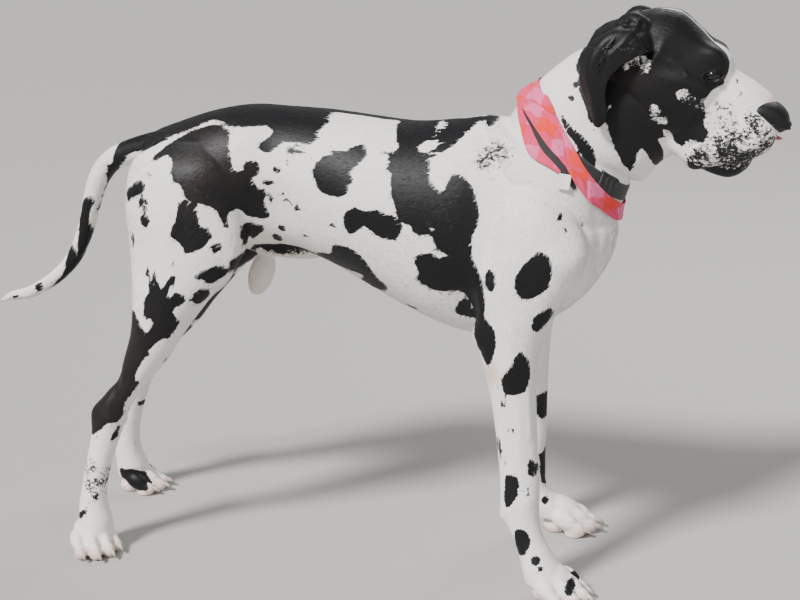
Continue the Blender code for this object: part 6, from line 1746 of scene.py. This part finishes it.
class DaneSettings(bpy.types.PropertyGroup):
    tufts: bpy.props.FloatProperty(
        name="Tufts", description="Share of the coat's full number of tufts", default=1.0, min=0.0, max=1.0)
    coat_depth: bpy.props.FloatProperty(
        name="Coat depth", description="How far the skin lies inside the solids", default=0.0015, min=0.0, max=0.004,
        unit="LENGTH")
    check: bpy.props.FloatProperty(
        name="Check", description="Side of one printed check of the neckerchief", default=0.0335, min=0.01, max=0.1,
        unit="LENGTH")
    cloth_pale: colour_setting("Pale check", "Palest colour of the neckerchief's print", "#f06a9c")
    cloth_middle: colour_setting("Pink check", "Middle colour of the neckerchief's print", "#e83a68")
    cloth_deep: colour_setting("Coral check", "Deepest colour of the neckerchief's print", "#f2332b")
    floor: colour_setting("Floor", "Colour of the studio floor", "#aaa8a4")


class GREATDANE_OT_skin(bpy.types.Operator):
    """Builds the skin with its lids, and paints the coat's markings on it"""
    bl_idname = "great_dane.skin"
    bl_label = "Skin and lids"

    def execute(self, context):
        skin = build_skin(context.scene.great_dane.coat_depth)
        tree = tree_of(skin)
        lids = [lid_surface(side, tree) for side in (-1, 1)]
        unwrapped(skin)
        coat = coat_material("short_coat", True)
        for obj in [skin] + lids:
            points = positions(obj) + SHIFT
            add_marks(obj, coat_marks(points), points)
            dressed(obj, coat, "coat")
        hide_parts(*made_of(frame, FLESH))
        return {"FINISHED"}


class GREATDANE_OT_coat(bpy.types.Operator):
    """Grows the short tufts of the coat on the skin"""
    bl_idname = "great_dane.coat"
    bl_label = "Tufts of the coat"

    def execute(self, context):
        coat_material("short_coat_tufts", False)
        for obj in build_coat(bpy.data.objects["skin"], context.scene.great_dane.tufts):
            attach(obj, "root")
        return {"FINISHED"}


FLESH = ("trunk", "neck", "head", "tail", "thigh", "foreleg", "hindleg", "forepaw", "hindpaw", "ear")


class GREATDANE_OT_face(bpy.types.Operator):
    """Builds the eyes, the nose leather and the tip of the tongue"""
    bl_idname = "great_dane.face"
    bl_label = "Eyes, nose and tongue"

    def execute(self, context):
        wet = eye_material()
        for side, name in ((-1, "eye_right"), (1, "eye_left")):
            dressed(eye_ball(side), wet, "eye", name)
        dressed(nose_leather(), nose_material(), "nose_leather", "nose")
        dressed(tongue(), tongue_material(), "tongue", "tongue")
        return {"FINISHED"}


class GREATDANE_OT_claws(bpy.types.Operator):
    """Builds the sixteen claws"""
    bl_idname = "great_dane.claws"
    bl_label = "Claws"

    def execute(self, context):
        dressed(claws(), claw_material(), "claw_horn", *made_of(frame, ("claw",)))
        return {"FINISHED"}


class GREATDANE_OT_neckwear(bpy.types.Operator):
    """Builds the collar, its slider, the neckerchief and its bare label"""
    bl_idname = "great_dane.neckwear"
    bl_label = "Collar and neckerchief"

    def execute(self, context):
        skin = tree_of(bpy.data.objects["skin"])
        webbing = webbing_material()
        dressed(collar(skin), webbing, "webbing", "collar")
        dressed(strap_in_gap(skin), webbing, "webbing")
        dressed(buckle(skin), plastic_material(), "buckle_plastic", "buckle")
        dane = context.scene.great_dane
        cloth = cloth_material(dane.check, dane.cloth_pale, dane.cloth_middle, dane.cloth_deep)
        wrap = dressed(neckerchief(skin), cloth, "neckerchief_cloth", "neckerchief")
        flap = dressed(neckerchief_end(skin), cloth, "neckerchief_cloth", "neckerchief_end")
        dressed(label(skin), label_material(), "label_cloth", "label")
        return {"FINISHED"}


class GREATDANE_OT_stage(bpy.types.Operator):
    """Builds the floor, the lights and the camera"""
    bl_idname = "great_dane.stage"
    bl_label = "Stage"

    def execute(self, context):
        build_stage(context.scene.great_dane.floor)
        return {"FINISHED"}


class GREATDANE_PT_panel(bpy.types.Panel):
    bl_idname = "GREATDANE_PT_panel"
    bl_label = "Great dane"
    bl_space_type = "VIEW_3D"
    bl_region_type = "UI"
    bl_category = "Great dane"

    def draw(self, context):
        for name in ("tufts", "coat_depth", "check", "cloth_pale", "cloth_middle", "cloth_deep", "floor"):
            self.layout.prop(context.scene.great_dane, name)
        for step in STEPS:
            self.layout.operator(step.bl_idname)


STEPS = (GREATDANE_OT_skin, GREATDANE_OT_coat, GREATDANE_OT_face, GREATDANE_OT_claws, GREATDANE_OT_neckwear,
         GREATDANE_OT_stage)


def dressed(obj, material, slot, *nodes):
    """Paints a piece, lets it ride on the body, and hides the nodes it stands for. The slot argument is not used."""
    painted(obj, material)
    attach(obj, "root")
    if nodes:
        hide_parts(*nodes)
    return obj


def register():
    for made in (DaneSettings, *STEPS, GREATDANE_PT_panel):
        bpy.utils.register_class(made)
    bpy.types.Scene.great_dane = bpy.props.PointerProperty(type=DaneSettings)


def unregister():
    del bpy.types.Scene.great_dane
    for made in reversed((DaneSettings, *STEPS, GREATDANE_PT_panel)):
        bpy.utils.unregister_class(made)


def main():
    register()
    for step in STEPS:
        group, name = step.bl_idname.split(".")
        getattr(getattr(bpy.ops, group), name)()
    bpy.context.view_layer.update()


if __name__ == "__main__":
    main()
